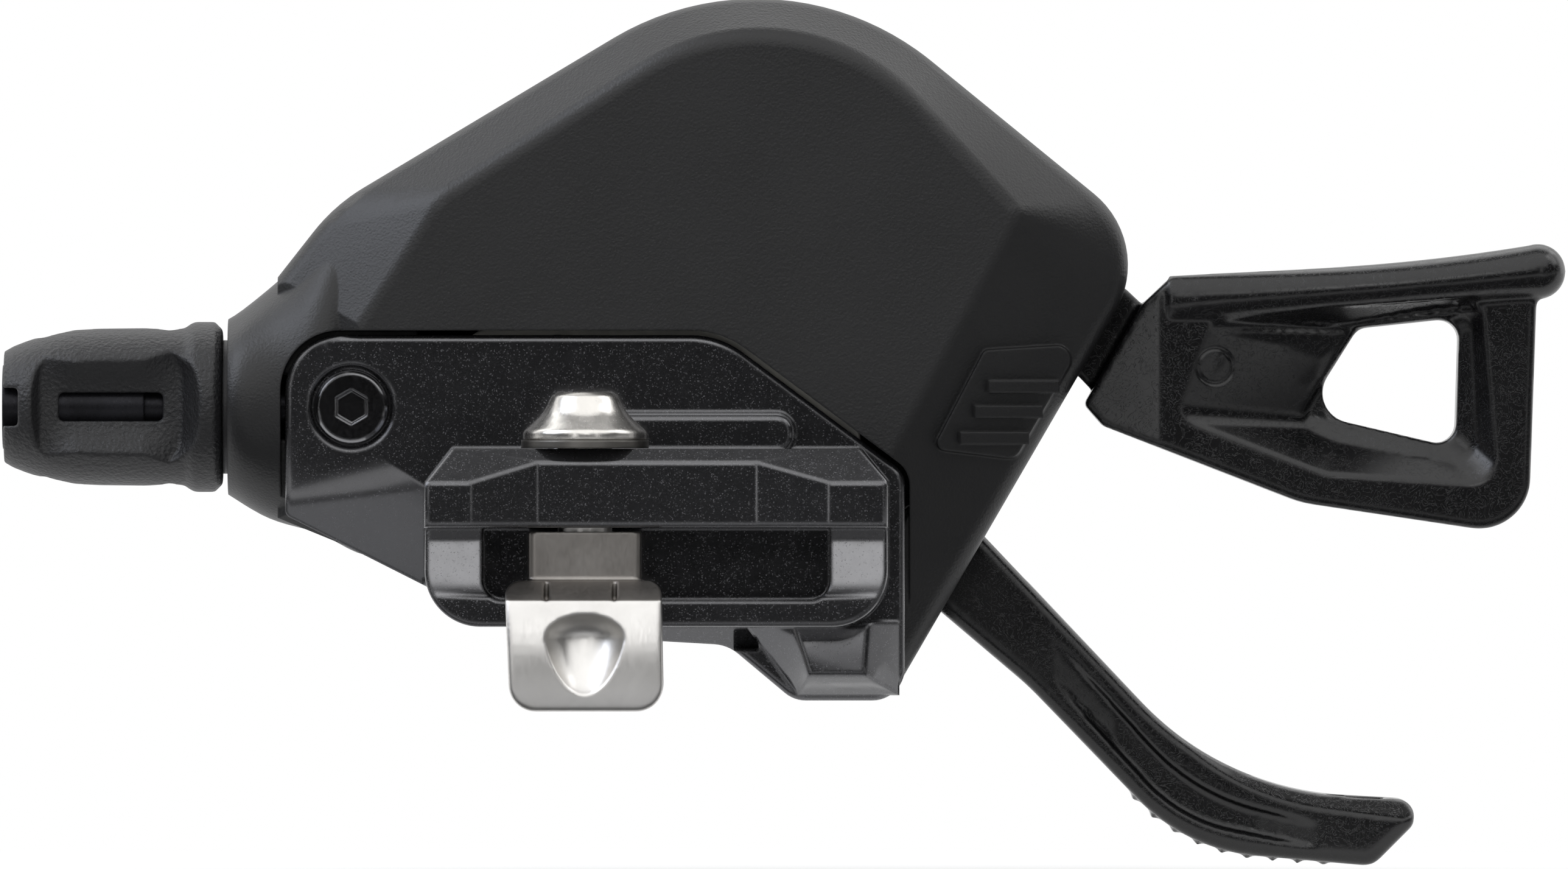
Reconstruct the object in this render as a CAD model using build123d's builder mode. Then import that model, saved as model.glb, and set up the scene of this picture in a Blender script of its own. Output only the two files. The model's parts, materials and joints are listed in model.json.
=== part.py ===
import os
from math import atan2, cos, degrees, hypot, radians, sin, sqrt

from build123d import *

# Trigger gear shifter for the right-hand end of a handlebar, drawn in millimetres.
# X runs along the handlebar from the cable adjuster to the levers, Z points forward,
# and Y runs away from the handlebar, so the mounting bracket is on the -Y side.
# The origin is on the clamp bolt's axis, at the top of the bracket's slotted bar.

os.makedirs("parts", exist_ok=True)

# Clearances
gap = 0.35  # visible gap between two fixed pieces
running = 0.05  # radial clearance of a shaft in its hole
seat = 0.02  # radial clearance of a fixed pin in its hole
sweep_room = 0.3  # room beside a piece that moves

# Mechanism axis and cable line
axle_x, axle_z = 12.6, 12.7
axle_radius = 3.0
cable_y, cable_z = 13.5, 3.1

# Housing depths, from the bracket side to the far side
plateau_y = 6.0
shoulder_y = 10.2
split_y = 16.5
far_shoulder_y = 22.5
far_y = 28.0
wall = 1.8

# Ratchet and pawls, which set the size of the dome
teeth = 20
tooth_tip, tooth_root = 12.3, 11.1
pawl_pin, pawl_head = 1.0, 2.0
pawl_clear = 1.3
pawl_reach = tooth_tip + pawl_head + pawl_clear
pawl_nose_radius = tooth_tip + sweep_room
feed_angle, latch_angle, nose_ahead = 75, 200, 28
pawl_room = 1.2
dome_radius = pawl_reach + pawl_head + pawl_room + wall


def meet(first, second):
    # Corner of two straight sides, each the angle of its normal and its distance from the axle
    (a, p), (b, q) = first, second
    a, b = radians(a), radians(b)
    x = (p * sin(b) - q * sin(a)) / sin(b - a)
    z = (q * cos(a) - p * cos(b)) / sin(b - a)
    return axle_x + x, axle_z + z


# Housing outline seen from the bracket side, clockwise from the lower left
nose_side = (141.7, 27.8)
upper_left, upper_right = (120.9, dome_radius), (50.8, dome_radius)
right_side = (-30.1, 24.3)
outline = [
    (-22.8, -5.1), (-22.8, 12.7), meet(nose_side, upper_left), meet(upper_left, upper_right),
    meet(upper_right, right_side), (22.5, -18.6), (16.6, -18.6), (12.1, -14.1), (-11.8, -9.6),
]  # fmt: skip
outline_radii = [0, 0, 13.5, dome_radius, 6.8, 2.0, 2.6, 4.0, 0]

# Crest around the flat top of the cover
crest_band = 3.1
crest_nose_side, crest_right_side = (147.0, 22.7), (-27.7, 15.0)
crest_left, crest_right = (122.2, dome_radius - crest_band), (42.5, dome_radius - crest_band)
crest = [
    (-16.7, -2.8), (-16.7, 9.2), meet(crest_nose_side, crest_left), meet(crest_left, crest_right),
    meet(crest_right, crest_right_side), (19.7, -6.0), (15.7, -9.6), (11.6, -10.0), (-10.9, -5.5),
]  # fmt: skip
crest_radii = [0, 0, 5.0, 15.8, 0.9, 2.0, 2.0, 2.0, 0]
crest_fillet = 1.6
shoulder_fillet = 2.0
far_crest_inset = 3.2
far_crest_fillet = 0.6

# Nose that carries the cable adjuster: place along X, centre and half sizes of each section
nose_tip_x = -26.5
nose_radius = 7.0
nose_block_x = -12.5
nose_sections = [
    (nose_tip_x, cable_y, cable_z, nose_radius - 0.5, nose_radius - 0.5),
    (nose_tip_x + 0.8, cable_y, cable_z, nose_radius, nose_radius),
    (nose_tip_x + 2.1, cable_y, cable_z + 0.1, nose_radius + 0.05, nose_radius + 0.9),
    (nose_tip_x + 4.0, cable_y, cable_z + 0.5, nose_radius + 0.1, nose_radius + 2.1),
    (nose_tip_x + 7.8, cable_y, cable_z + 2.0, nose_radius + 0.15, nose_radius + 4.9),
    (nose_tip_x + 12.5, cable_y, cable_z + 2.4, nose_radius + 0.15, nose_radius + 5.4),
]

# Cover screws, driven from the far side
screw_spots = [(-9.0, 13.5), (19.2, -12.5), (28.0, 20.5)]
screw_radius = 1.2
screw_head_radius = 2.3
screw_head_height = 1.5
boss_radius = 2.4

# Raised ribbed pad on the right-hand slope of the cover
pad = [(25.2, -0.3), (29.3, 7.6), (36.1, 7.4), (31.6, -0.4)]
pad_height = 0.55
rib_height = 0.5
rib_width = 0.9
ribs = [(29.8, 35.0, 4.6), (28.8, 33.8, 2.75), (27.7, 32.8, 0.8)]

# Bracket plate
plate_front, plate_back = 6.9, 9.1
bracket_outline = [
    (-22.2, -4.9), (-22.2, 8.4), (9.9, 8.4), (23.6, -1.8), (23.6, -18.6),
    (15.4, -18.6), (10.5, -14.5), (-5.0, -13.6),
]  # fmt: skip
bracket_radii = [0.6, 4.1, 6.5, 1.8, 2.4, 2.4, 3.0, 0]
plate_edge = 0.4
foot_height, foot_edge = 2.7, 0.5

# Bracket loop with the slotted bar
bar_left, bar_right = -11.8, 22.3
bar_height = 5.8
bar_mid_front, bar_end_front = -4.0, -5.5
bar_edge = 0.35
loop_bottom = -13.1
loop_front, loop_shoulder = -1.5, 1.3
loop_corner = 4.1
loop_edge = 0.25
window_left, window_right, window_bottom = -7.6, 18.1, -11.2
window_back = 4.2
window_corner = 1.5
slot_left, slot_right = -1.5, 12.4
ledge_left, ledge_right, ledge_bottom, ledge_top = -3.1, 15.5, -0.4, 2.7
ledge_height, ledge_corner = 1.8, 1.4

# Clamp
bolt_radius = 2.0
washer_radius, washer_height = 4.7, 0.6
slide_play = 0.05
cone_top_radius, cone_base_radius, cone_height = 2.35, 4.55, 4.2
flange_height = 0.74
stem_half = 4.17
stem_depth = 2.8
stem_edge = 0.5
jaw_left, jaw_right, jaw_top, jaw_bottom = -5.9, 5.85, -9.7, -19.3
jaw_front, jaw_back = -6.5, -2.0
jaw_lip_front, jaw_face_top = -3.6, -11.2
jaw_face_top_y, jaw_face_bottom_y = -5.75, -6.2
jaw_edge = 0.3
lip_notches, lip_notch_width = (-2.8, 2.2), 0.35
pick_top, pick_widest, pick_tip = -12.1, -13.7, -18.2
pick_top_radius, pick_radius, pick_tip_radius = 2.6, 3.2, 1.4
pick_axis_y = -7.6

# Bracket screw
bracket_screw_x = -17.3
bracket_screw_head = 2.75
bracket_screw_recess, recess_bevel = 3.0, 0.25
bracket_screw_radius = 1.45
bracket_screw_seat = plate_front + 0.9
bracket_screw_front = plate_front - 0.2
bracket_screw_end = 10.3
bracket_screw_spot = [(bracket_screw_x, cable_z)]
hex_key, hex_depth = 2.2, 0.9

# Cable adjuster, measured along X from the left end of its knob
knob_length, knob_gap = 16.2, 0.4
knob_profile = [
    (0, 4.1), (0.7, 4.5), (1.6, 4.85), (2.5, 5.15), (3.4, 5.42), (4.3, 5.6), (5.2, 5.74),
    (7.1, 5.85), (11.1, 5.9),
]  # fmt: skip
collar_length, collar_radius = 2.3, 6.3
collar_start = knob_length - collar_length
scoop_start, scoop_length = 2.7, 10.5
scoop_floor = 3.8
scoop_half = 4.1
scoop_flare = 30
grip_slot_margin, grip_slot_half = 1.4, 1.05
end_notch_depth, end_notch_half = 1.1, 1.4
knob_end_wall = 1.7
knob_bore_length = knob_length - knob_end_wall
bolt_head_radius, bolt_head_length = 3.1, 10.5
bolt_shank_radius, bolt_length = 2.5, 29.2
bolt_lip = 0.1
housing_socket_radius, housing_socket_depth = 2.55, 9.0
inner_cable_radius = 0.9
detent_bore_radius, detent_bore_depth = 5.0, 4.5
click_ring_thickness = 0.9
insert_radius, insert_length = 3.8, 9.5
knob_right = nose_tip_x - knob_gap
knob_left = knob_right - knob_length
bolt_left = knob_left - bolt_lip
detent_bore_end = nose_tip_x + detent_bore_depth
insert_end = detent_bore_end + insert_length

# Mechanism layers along Y
base_front, base_back = plate_back, 10.6
winder_front, winder_back = 10.9, 15.0
ratchet_back = 16.5
neck_front, neck_back = 17.0, 18.4
release_plate_back = 19.5
arm_front, arm_back = 20.6, 22.2
main_plate_back = 23.5
axle_nut_front, axle_nut_back = 23.9, 25.7
axle_head_front = 7.9

# Winder
winder_radius = 11.0
groove_radius, groove_half = 9.0, 0.75
spring_inner, spring_outer = 4.4, 8.0

# Main (thumb) lever, outline clockwise from the inner end of the upper edge
paddle_outline = [
    (31.7, -8.7), (47.4, -25.3), (61.8, -26.1), (61.4, -28.0), (58.4, -31.0), (44.6, -29.8),
    (32.8, -17.6), (28.6, -14.0),
]  # fmt: skip
paddle_radii = [1.2, 22.4, 1.3, 0.6, 1.6, 14.0, 20.0, 1.2]
paddle_front, paddle_back = 19.9, 31.5
front_edge, back_edge = 0.9, 1.2
root_upper, root_lower = (27.2, -4.0), (25.0, -11.0)
arm_outline = [(20.0, 3.6), (30.0, -7.0), (29.0, -13.7), (16.0, -2.6)]
ridge_outline = [(37.0, -13.0), (46.3, -25.7), (64.0, -28.0), (64.0, -13.0)]
ridge_radii = [0, 20.0, 0, 0]
ridge_slope = 42
web_outline = [
    (34.6, -14.0), (45.2, -25.6), (56.0, -28.3), (56.0, -30.0), (44.1, -27.6), (33.2, -15.6),
]  # fmt: skip
web_radii = [0.6, 16.0, 0.6, 0.6, 12.0, 0.6]
web_depth = 0.8
web_ends, web_fade = (34.5, 54.5), 5.0
left_core = [(44.4, -14.0), (49.4, -14.0), (49.4, -27.2), (47.0, -26.4), (44.4, -24.7)]
right_core = [(55.2, -14.0), (59.4, -14.0), (59.2, -28.6), (55.2, -28.6)]
core_front, core_back = 21.5, 29.6
main_rivet_spots = [(20.5, -1.6), (24.5, -5.6)]
main_rivet_radius, release_rivet_radius = 1.3, 1.2
thumb_ribs = 9
thumb_rib_radius, thumb_rib_sink = 0.7, 0.35

# Release lever, outline clockwise from the lower left
release_outline = [
    (36.9, 3.3), (41.2, 10.7), (43.2, 12.6), (55.7, 12.6), (71.2, 14.2),
    (71.2, 11.6), (70.4, 10.9), (69.8, -6.5), (53.0, -4.0), (38.3, 1.7),
]  # fmt: skip
release_radii = [0.4, 0.4, 0.5, 90.0, 0.8, 0.5, 0.7, 3.8, 8.0, 0.4]
finger_window = [(53.3, 2.7), (57.2, 8.9), (64.7, 9.7), (64.4, 0.1)]
window_radii = [2.2, 1.2, 1.4, 1.4]
frame_front, frame_back = 11.6, 19.5
frame_edge = 0.4
facet_right, facet_depth = 42.6, 1.3
bar_sections = [
    (43.2, 10.95, 1.85, 1.0), (50.0, 11.4, 1.75, 1.5), (57.0, 11.85, 1.7, 1.9),
    (65.0, 12.55, 1.8, 2.1), (70.5, 13.12, 2.05, 2.05),
]  # fmt: skip
bar_axis_y = 12.3
funnel_rim = [(42.5, 2.7), (44.4, 9.2), (66.2, 11.0), (67.5, -2.6), (54.5, -1.9)]
funnel_mid = [(52.6, 1.9), (56.8, 8.95), (65.6, 10.1), (65.9, -1.2), (56.0, 0.5)]
funnel_end = [(53.2, 2.6), (57.1, 8.9), (64.8, 9.75), (64.5, 0.0), (57.0, 1.3)]
funnel_radii = [0.8, 0.8, 1.2, 1.6, 3.0]
floor_depth, funnel_back = 2.6, 18.0
ejector_spot, ejector_radius = (46.6, 6.1), 1.3
ejector_front, ejector_back = 12.0, 12.9
release_rivet_spots = [(24.0, 10.4), (31.0, 9.4)]
neck_outline = [
    (20.0, 6.6), (20.0, 14.6), (30.0, 14.2), (40.0, 11.9), (41.8, 10.2),
    (38.2, 3.6), (36.4, 5.5), (30.0, 4.0),
]  # fmt: skip


def at_depth(y):
    # Plane parallel to XZ at one depth, drawn in (x, z); extruding it comes towards -Y
    return Plane.XZ.offset(-y)


def polar(radius, angle):
    # Place at a radius and angle about the mechanism axis, as (x, z)
    return axle_x + radius * cos(radians(angle)), axle_z + radius * sin(radians(angle))


def inset_outline(corners, radii, distance):
    # Corners and corner radii of a clockwise outline moved inwards by one distance
    normals = []
    for (x0, z0), (x1, z1) in zip(corners, corners[1:] + corners[:1]):
        length = hypot(x1 - x0, z1 - z0)
        normals.append(((z1 - z0) / length, (x0 - x1) / length))
    moved, rounding = [], []
    for i, (x, z) in enumerate(corners):
        (ax, az), (bx, bz) = normals[i - 1], normals[i]
        scale = distance / (1 + ax * bx + az * bz)
        moved.append((x + scale * (ax + bx), z + scale * (az + bz)))
        convex = ax * bz - az * bx < 0
        shrunk = radii[i] - distance if convex else radii[i] + distance
        rounding.append(0 if radii[i] == 0 else max(shrunk, 0.3))
    return moved, rounding


def rounded(corners, radii):
    # Edges of a closed outline with one radius at each corner
    with BuildLine() as border:
        FilletPolyline(*corners, radius=radii, close=True)
    return border.edges()


def housing_form(rim, rim_radii, top, top_radii, rim_y, knee_y, top_y):
    # Upright wall from the rim to the knee, then a slope up to the crest
    with BuildPart() as form:
        with BuildSketch(at_depth(rim_y)):
            make_face(rounded(rim, rim_radii))
        extrude(amount=rim_y - knee_y)
        with BuildSketch(at_depth(knee_y)) as knee:
            make_face(rounded(rim, rim_radii))
        with BuildSketch(at_depth(top_y)) as roof:
            make_face(rounded(top, top_radii))
        loft(sections=[knee.sketch, roof.sketch], ruled=True)
    return form.part


def nose_form(grow):
    with BuildPart() as form:
        for x, y, z, half_y, half_z in nose_sections:
            with BuildSketch(Plane.YZ.offset(x)):
                with Locations((y, z)):
                    Ellipse(half_y + grow, half_z + grow)
        loft()
    return form.part


def round_bar(radius, start_y, end_y, spots):
    # Cylinders along Y at a list of (x, z) places
    with BuildPart() as bars:
        with BuildSketch(at_depth(start_y)):
            with Locations(*spots):
                Circle(radius)
        extrude(amount=start_y - end_y)
    return bars.part


def prism_along_x(profile, left, right):
    # Prism with a closed (y, z) profile between two places along X
    with BuildPart() as bar:
        with BuildSketch(Plane.YZ.offset(left)):
            with BuildLine():
                Polyline(*profile, close=True)
            make_face()
        extrude(amount=right - left)
    return bar.part


def cylinder_along_x(radius, left, right):
    # Cylinder about the cable line
    with BuildPart() as bar:
        with BuildSketch(Plane.YZ.offset(left)):
            with Locations((cable_y, cable_z)):
                Circle(radius)
        extrude(amount=right - left)
    return bar.part


def upper_side(edges):
    # Edges on the rim that shows above the bracket
    return [e for e in edges if e.center().Z > 0 and e.center().X > -16]


def level_edges(part, y):
    # Edges that lie in one plane parallel to XZ
    boxes = [(e, e.bounding_box()) for e in part.edges()]
    return [e for e, box in boxes if abs(box.min.Y - y) < 0.01 and abs(box.max.Y - y) < 0.01]


def save(part, name):
    part.label = name
    export_step(part, f"parts/{name}.step")


# Top cover: domed shell with the nose, screw posts and ribbed pad
outer = housing_form(outline, outline_radii, crest, crest_radii, split_y, shoulder_y, plateau_y)
inner_rim = inset_outline(outline, outline_radii, wall)
inner_crest = inset_outline(crest, crest_radii, wall)

with BuildPart() as cavity:
    add(housing_form(*inner_rim, *inner_crest, split_y, shoulder_y, plateau_y + wall))
    with BuildSketch(at_depth(split_y)):
        with Locations((nose_block_x - 20, 0)):
            Rectangle(40, 80)
        with Locations(*screw_spots):
            Circle(boss_radius)
    extrude(amount=split_y, mode=Mode.SUBTRACT)

with BuildPart() as raised_pad:
    add(outer.moved(Location((0, -pad_height, 0))))
    with BuildSketch(at_depth(shoulder_y + 1)):
        make_face(rounded(*inset_outline(pad, [0.8, 0.8, 0.8, 0.8], -0.8)))
    extrude(amount=6, taper=14, mode=Mode.INTERSECT)

with BuildPart() as pad_ribs:
    add(outer.moved(Location((0, -pad_height - rib_height, 0))))
    with BuildSketch(at_depth(shoulder_y + 1)):
        for left, right, z in ribs:
            with Locations(((left + right) / 2, z)):
                Rectangle(right - left, rib_width)
    extrude(amount=6, mode=Mode.INTERSECT)

pocket_outline = inset_outline(bracket_outline, bracket_radii, -gap)
with BuildPart() as top_cover:
    add(outer)
    fillet(upper_side(top_cover.faces().sort_by(Axis.Y)[0].edges()), crest_fillet)
    fillet(upper_side(level_edges(top_cover.part, shoulder_y)), shoulder_fillet)
    add(nose_form(0))
    add(raised_pad.part)
    add(pad_ribs.part)
    add(cavity.part, mode=Mode.SUBTRACT)
    with BuildSketch(at_depth(plate_back)):
        make_face(rounded(*pocket_outline))
    extrude(amount=plate_back, mode=Mode.SUBTRACT)
    add(cylinder_along_x(insert_radius + seat, detent_bore_end, insert_end + 1), mode=Mode.SUBTRACT)
    add(cylinder_along_x(detent_bore_radius, nose_tip_x - 1, detent_bore_end), mode=Mode.SUBTRACT)
    add(round_bar(insert_radius + seat, cable_y, plate_back - 1, bracket_screw_spot), mode=Mode.SUBTRACT)
    add(round_bar(screw_radius + seat, split_y + 1, plate_back + 3, screw_spots), mode=Mode.SUBTRACT)
save(top_cover.part, "top_cover")

# Bottom cover: shell on the far side, open at the right where the levers come out
far_crest = inset_outline(outline, outline_radii, far_crest_inset)
far_outer = housing_form(outline, outline_radii, *far_crest, split_y, far_shoulder_y, far_y)
far_inner_rim = inset_outline(outline, outline_radii, wall)
far_inner_crest = inset_outline(outline, outline_radii, far_crest_inset + wall / 2)

with BuildPart() as far_cavity:
    add(housing_form(*far_inner_rim, *far_inner_crest, split_y, far_shoulder_y, far_y - wall))
    add(round_bar(boss_radius, split_y, far_y, screw_spots), mode=Mode.SUBTRACT)

lever_slot = [polar(0, 0), polar(60, 12), polar(80, -27), polar(60, -67)]
with BuildPart() as bottom_cover:
    add(far_outer)
    fillet(bottom_cover.faces().sort_by(Axis.Y)[-1].edges(), far_crest_fillet)
    add(far_cavity.part, mode=Mode.SUBTRACT)
    add(nose_form(gap), mode=Mode.SUBTRACT)
    with BuildSketch(at_depth(split_y)):
        with BuildLine():
            Polyline(*lever_slot, close=True)
        make_face()
    extrude(amount=split_y - main_plate_back - 0.5, mode=Mode.SUBTRACT)
    add(round_bar(screw_radius + seat, split_y, far_y, screw_spots), mode=Mode.SUBTRACT)
    screw_seat = far_y - screw_head_height
    add(round_bar(screw_head_radius + seat, screw_seat, far_y, screw_spots), mode=Mode.SUBTRACT)
save(bottom_cover.part, "bottom_cover")

# Cover screws with cross recesses
with BuildPart() as cover_screws:
    add(round_bar(screw_radius, plate_back + 3.2, far_y - screw_head_height, screw_spots))
    add(round_bar(screw_head_radius, far_y - screw_head_height, far_y, screw_spots))
    fillet(level_edges(cover_screws.part, far_y), 0.4)
    with BuildSketch(at_depth(far_y)):
        with Locations(*screw_spots):
            Rectangle(2.6, 0.6)
            Rectangle(0.6, 2.6)
    extrude(amount=0.9, mode=Mode.SUBTRACT)
save(cover_screws.part, "cover_screws")

# Bracket: plate with a loop and a slotted bar for the clamp
loop_top = -bar_height / 2
loop_outline = [
    (bar_left, loop_bottom), (bar_left, loop_top), (bar_right, loop_top), (bar_right, loop_bottom),
]  # fmt: skip
loop_drop = -bar_height - loop_bottom
loop_lean = loop_shoulder - loop_front
loop_bend = (loop_drop**2 + loop_lean**2) / (2 * loop_lean)
loop_middle = (loop_front + loop_bend - sqrt(loop_bend**2 - loop_drop**2 / 4), loop_bottom + loop_drop / 2)
with BuildPart() as loop:
    with BuildSketch(Plane.YZ.offset(bar_left)):
        with BuildLine():
            ThreePointArc((loop_shoulder, -bar_height), loop_middle, (loop_front, loop_bottom))
            Polyline(
                (loop_front, loop_bottom), (plate_front, loop_bottom), (plate_front, loop_top),
                (loop_shoulder, loop_top), (loop_shoulder, -bar_height),
            )  # fmt: skip
        make_face()
    extrude(amount=bar_right - bar_left)
    with BuildSketch(at_depth(plate_front)):
        make_face(rounded(loop_outline, [loop_corner, 0, 0, loop_corner]))
    extrude(amount=plate_front - loop_front + 1, mode=Mode.INTERSECT)
    loop_face = loop.faces().filter_by(GeomType.CYLINDER).sort_by(SortBy.AREA)[-1]
    fillet([e for e in loop_face.edges() if e.center().Z < -bar_height - 0.1], loop_edge)

bar_outline = [
    (bar_left, plate_front), (bar_left, bar_end_front), (bar_left + 3.4, bar_end_front),
    (bar_left + 8.4, bar_mid_front), (bar_right - 9.7, bar_mid_front),
    (bar_right - 4.3, bar_end_front), (bar_right, bar_end_front), (bar_right, plate_front),
]  # fmt: skip
bar_bevel = [(-3.0, 0), (-3.0, 1), (-9.0, 1), (-9.0, -6.0)]
with BuildPart() as bar:
    with BuildSketch(Plane.XY.offset(-bar_height)):
        with BuildLine():
            Polyline(*bar_outline, close=True)
        make_face()
    extrude(amount=bar_height)
    add(prism_along_x(bar_bevel, bar_left - 1, bar_right + 1), mode=Mode.SUBTRACT)
    with BuildSketch(at_depth(plate_front)):
        with BuildLine():
            Polyline((bar_left, 0), (bar_left + 2.0, 0), (bar_left, -2.6), close=True)
        make_face()
        with BuildLine():
            Polyline((bar_right, 0), (bar_right - 2.0, 0), (bar_right, -2.4), close=True)
        make_face()
    extrude(amount=20, mode=Mode.SUBTRACT)
    fillet([e for e in bar.edges() if e.center().Y < -3.3], bar_edge)

foot_bottom = [(11.6, -12.8), (23.2, -12.8), (23.2, -18.2), (15.7, -18.2)]
foot_roof = [(15.4, -12.8), (20.9, -12.8), (20.6, -16.7), (16.5, -16.7)]
with BuildPart() as foot:
    for y, corners in ((plate_front, foot_bottom), (plate_front - foot_height, foot_roof)):
        with BuildSketch(at_depth(y)):
            with BuildLine():
                Polyline(*corners, close=True)
            make_face()
    loft(ruled=True)
    fillet(level_edges(foot.part, plate_front - foot_height), foot_edge)

window = [
    (window_left, window_bottom), (window_left, -bar_height),
    (window_right, -bar_height), (window_right, window_bottom),
]  # fmt: skip
lower_bevel = [
    (plate_front - 1, -2.4), (plate_front, -3.0), (plate_front + 1.5, -10), (plate_front - 1, -10),
]  # fmt: skip
strip_left, strip_right = bar_left + 5, bar_right - 9.5
strip_bevel = [
    (plate_front - 1, loop_bottom - 0.1), (plate_front, loop_bottom - 0.1),
    (plate_back - 0.4, loop_bottom - 1.8), (plate_front - 1, loop_bottom - 1.8),
]  # fmt: skip
with BuildPart() as ledge:
    with BuildSketch(at_depth(plate_front)):
        with Locations(((ledge_left + ledge_right) / 2, (ledge_bottom + ledge_top) / 2)):
            RectangleRounded(ledge_right - ledge_left, ledge_top - ledge_bottom, ledge_corner)
    extrude(amount=ledge_height, taper=8)
    fillet(level_edges(ledge.part, plate_front - ledge_height), bar_edge)

with BuildPart() as bracket:
    with BuildSketch(at_depth(plate_back)):
        make_face(rounded(bracket_outline, bracket_radii))
    extrude(amount=plate_back - plate_front)
    fillet(level_edges(bracket.part, plate_front), plate_edge)
    add(prism_along_x(strip_bevel, strip_left, strip_right), mode=Mode.SUBTRACT)
    add(loop.part)
    add(bar.part)
    add(ledge.part)
    add(foot.part)
    with BuildSketch(at_depth(window_back)):
        make_face(rounded(window, [window_corner, 0.2, 0.2, window_corner]))
    extrude(amount=window_back + 10, mode=Mode.SUBTRACT)
    with BuildSketch(Plane.XY.offset(-bar_height - 1)):
        with Locations(((slot_left + slot_right) / 2, 0)):
            SlotOverall(slot_right - slot_left + 2 * bolt_radius + 0.6, 2 * bolt_radius + 0.6)
    extrude(amount=bar_height + 2, mode=Mode.SUBTRACT)
    add(prism_along_x(lower_bevel, nose_tip_x, bar_left), mode=Mode.SUBTRACT)
    add(round_bar(bracket_screw_recess, bracket_screw_seat, 0, bracket_screw_spot), mode=Mode.SUBTRACT)
    recess_rim = [e for e in level_edges(bracket.part, plate_front) if e.geom_type == GeomType.CIRCLE]
    chamfer([e for e in recess_rim if abs(e.radius - bracket_screw_recess) < 0.01], recess_bevel)
    add(round_bar(bracket_screw_radius + seat, plate_back + 1, 0, bracket_screw_spot), mode=Mode.SUBTRACT)
save(bracket.part, "bracket")

# Bracket screw with a hexagon socket
with BuildPart() as bracket_screw:
    add(round_bar(bracket_screw_head, bracket_screw_seat, bracket_screw_front, bracket_screw_spot))
    chamfer(level_edges(bracket_screw.part, bracket_screw_front), 0.3)
    add(round_bar(bracket_screw_radius, bracket_screw_end, bracket_screw_seat, bracket_screw_spot))
    with BuildSketch(at_depth(bracket_screw_front)):
        with Locations(*bracket_screw_spot):
            RegularPolygon(hex_key / 2 / cos(radians(30)), 6, rotation=30)
    extrude(amount=-hex_depth, mode=Mode.SUBTRACT)
save(bracket_screw.part, "bracket_screw")

# Clamp jaw: convex face with a sloping lip, a pick-shaped hollow and a stem
jaw_outline = [
    (jaw_left + 0.4, jaw_bottom), (jaw_left, jaw_top), (jaw_right - 0.2, jaw_top), (jaw_right, jaw_bottom),
]  # fmt: skip
stem_bottom = jaw_face_top
bolt_bottom = jaw_top - 0.5
with BuildPart() as clamp_jaw:
    with BuildSketch(Plane.YZ.offset(jaw_left - 1)):
        with BuildLine():
            Polyline(
                (jaw_face_bottom_y, jaw_bottom), (jaw_back, jaw_bottom), (jaw_back, jaw_top),
                (jaw_lip_front, jaw_top), (jaw_face_top_y, jaw_face_top),
            )  # fmt: skip
            ThreePointArc(
                (jaw_face_top_y, jaw_face_top), (jaw_front, (jaw_face_top + jaw_bottom) / 2 - 1),
                (jaw_face_bottom_y, jaw_bottom),
            )  # fmt: skip
        make_face()
    extrude(amount=jaw_right - jaw_left + 2)
    with BuildSketch(at_depth(jaw_back)):
        make_face(rounded(jaw_outline, [2.0, 1.1, 1.1, 2.0]))
    extrude(amount=jaw_back - jaw_front + 1, mode=Mode.INTERSECT)
    jaw_face = clamp_jaw.faces().filter_by(GeomType.CYLINDER).sort_by(SortBy.AREA)[-1]
    fillet(jaw_face.edges(), jaw_edge)
    with Locations((0, pick_axis_y, (pick_widest + pick_tip) / 2)):
        Cone(pick_tip_radius, pick_radius, pick_widest - pick_tip, mode=Mode.SUBTRACT)
    with Locations((0, pick_axis_y, (pick_top + pick_widest) / 2)):
        Cone(pick_radius, pick_top_radius, pick_top - pick_widest, mode=Mode.SUBTRACT)
    with BuildSketch(Plane.XY.offset(jaw_top)):
        with Locations(*((x, jaw_face_top_y) for x in lip_notches)):
            Rectangle(lip_notch_width, 2 * (jaw_lip_front - jaw_face_top_y) + lip_notch_width)
    extrude(amount=jaw_face_top - jaw_top, mode=Mode.SUBTRACT)
    with BuildSketch(Plane.XY.offset(stem_bottom)):
        with Locations((0, -0.1)):
            RectangleRounded(2 * stem_half, 2 * stem_depth + 0.2, stem_edge)
    extrude(amount=-bar_height - 0.3 - stem_bottom)
    with BuildSketch(Plane.XY.offset(bolt_bottom - 0.2)):
        Circle(bolt_radius + seat)
    extrude(amount=0.2 - bolt_bottom, mode=Mode.SUBTRACT)
save(clamp_jaw.part, "clamp_jaw")

# Clamp bolt, washer and cone nut
bolt_top = cone_height - 0.9
with BuildPart() as clamp_bolt:
    with BuildSketch(Plane.XY.offset(bolt_bottom)):
        Circle(bolt_radius)
    extrude(amount=bolt_top - bolt_bottom)
save(clamp_bolt.part, "clamp_bolt")

with BuildPart() as clamp_washer:
    with BuildSketch(Plane.XY.offset(slide_play)):
        Circle(washer_radius)
        Circle(bolt_radius + seat, mode=Mode.SUBTRACT)
    extrude(amount=washer_height)
save(clamp_washer.part, "clamp_washer")

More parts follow.
